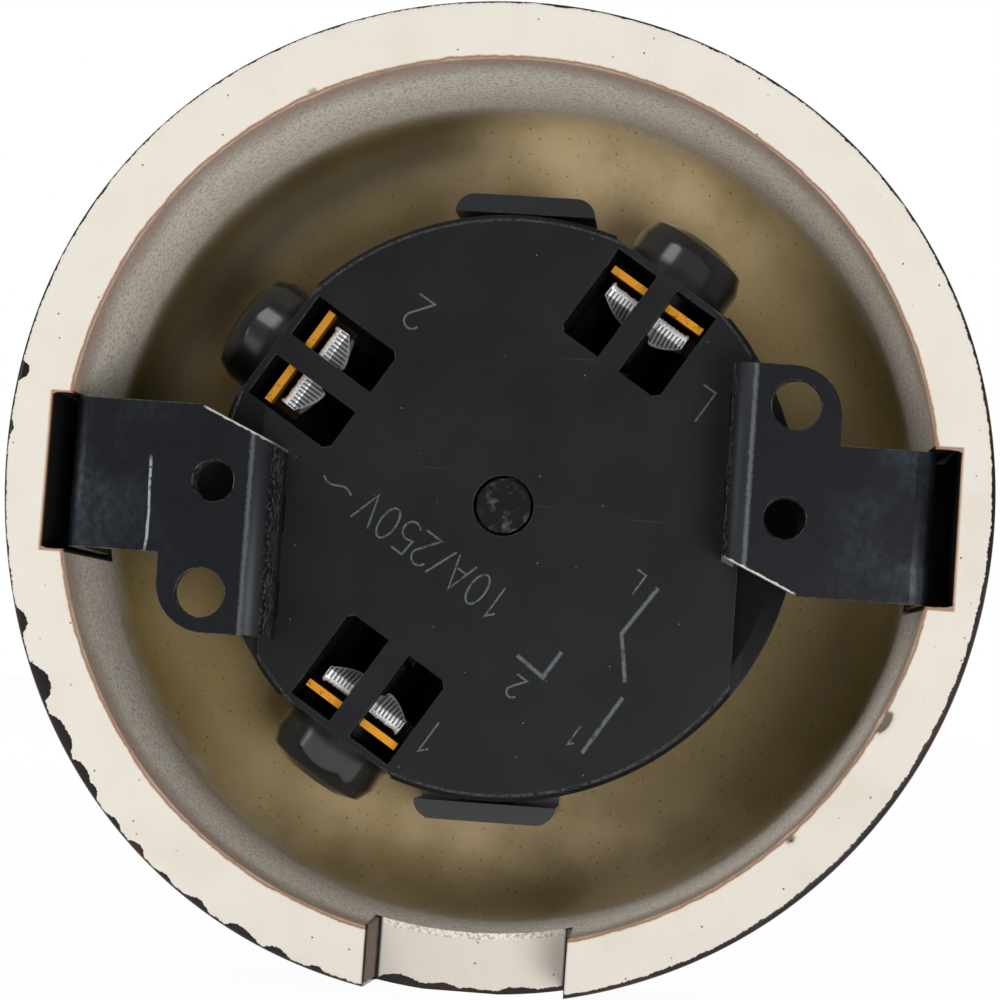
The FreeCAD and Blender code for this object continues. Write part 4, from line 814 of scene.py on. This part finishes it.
view = {
    "right": 17.0, "up": -15.0, "distance": 235.0, "roll": 4.03, "lens": 105.7, "aimRight": 0.25,
    "aimUp": -0.05, "floor": "f2f1ef", "floorLevel": -0.0402, "floorHalf": 3.0, "floorShown": 0.97,
    "fill": 0.42,
}
lamps = {  # place in metres, size in metres, watts
    "top_lamp": ((0.2, 0.5, 0.45), 0.35, 0.9),
    "low_lamp": ((-0.25, 0.62, -0.2), 0.3, 2.45),
    "left_lamp": ((0.6, 0.35, 0.1), 0.3, 0.6),
    "front_lamp": ((0.3, -0.6, 0.5), 0.5, 3.0),
}


def aim(thing, target, up):
    # turns a thing so that its -Z looks at target and its +Y leans to up
    back = (thing.location - Vector(target)).normalized()
    right = Vector(up).cross(back).normalized()
    turn = Matrix((right, back.cross(right), back)).transposed().to_4x4()
    thing.matrix_world = Matrix.Translation(thing.location) @ turn


def makeCamera():
    # seen from the wall side, so the picture's right is -X
    lens = bpy.data.cameras.new("camera")
    camera = bpy.data.objects.new("camera", lens)
    bpy.context.scene.collection.objects.link(camera)
    camera.location = (-view["right"] * mm, view["distance"] * mm, view["up"] * mm)
    roll = math.radians(view["roll"])
    aim(camera, (-view["aimRight"] * mm, 0, view["aimUp"] * mm), (math.sin(roll), 0, math.cos(roll)))
    lens.lens = view["lens"]
    lens.sensor_width = 36
    lens.clip_start = 0.01
    bpy.context.scene.camera = camera


def makeFloor():
    # pale board; the camera sees it nearly white, with a trace of the object's shadow
    level, half = view["floorLevel"], view["floorHalf"]
    corners = [(-half, -half, level), (half, -half, level), (half, half, level), (-half, half, level)]
    floor = meshPiece("floor", corners, [(0, 1, 2, 3)], smooth=False)
    material, tree, _ = startMaterial("pale_board")
    paint = addNode(tree, "BsdfDiffuse", {"Color": linear(view["floor"])})
    white = addNode(tree, "Emission", {"Color": (1, 1, 1, 1), "Strength": 1.0})
    seen = addNode(tree, "Math", [addNode(tree, "LightPath"), addNode(tree, "LightPath", output="Is Glossy Ray")],
                   operation="MAXIMUM")
    seen = addNode(tree, "Math", [seen, view["floorShown"]], operation="MULTIPLY")
    addNode(tree, "OutputMaterial", [addNode(tree, "MixShader", [seen, paint, white])])
    floor.data.materials.append(material)
    floor.visible_shadow = False  # the low lamp stands below the board and still lights the object


def makeWorld():
    world = bpy.data.worlds.new("studio")
    world.use_nodes = True
    bpy.context.scene.world = world
    tree = world.node_tree
    tree.nodes.clear()
    fill = addNode(tree, "Background", {"Color": (0.96, 0.98, 1.0, 1), "Strength": view["fill"]})
    white = addNode(tree, "Background", {"Color": (1, 1, 1, 1), "Strength": 1.0})
    shown = addNode(tree, "MixShader", [addNode(tree, "LightPath"), fill, white])
    addNode(tree, "OutputWorld", [shown])


def makeLamp(name, place, size, watts):
    light = bpy.data.lights.new(name, "AREA")
    light.shape = "DISK"
    light.size = size
    light.energy = watts
    lamp = bpy.data.objects.new(name, light)
    bpy.context.scene.collection.objects.link(lamp)
    lamp.location = place
    aim(lamp, (0, 0, 0), (0, 0, 1))


makeCamera()
makeFloor()
makeWorld()
for name, (place, size, watts) in lamps.items():
    makeLamp(name, place, size, watts)
bpy.context.scene.view_settings.view_transform = "Standard"

print("scene complete")
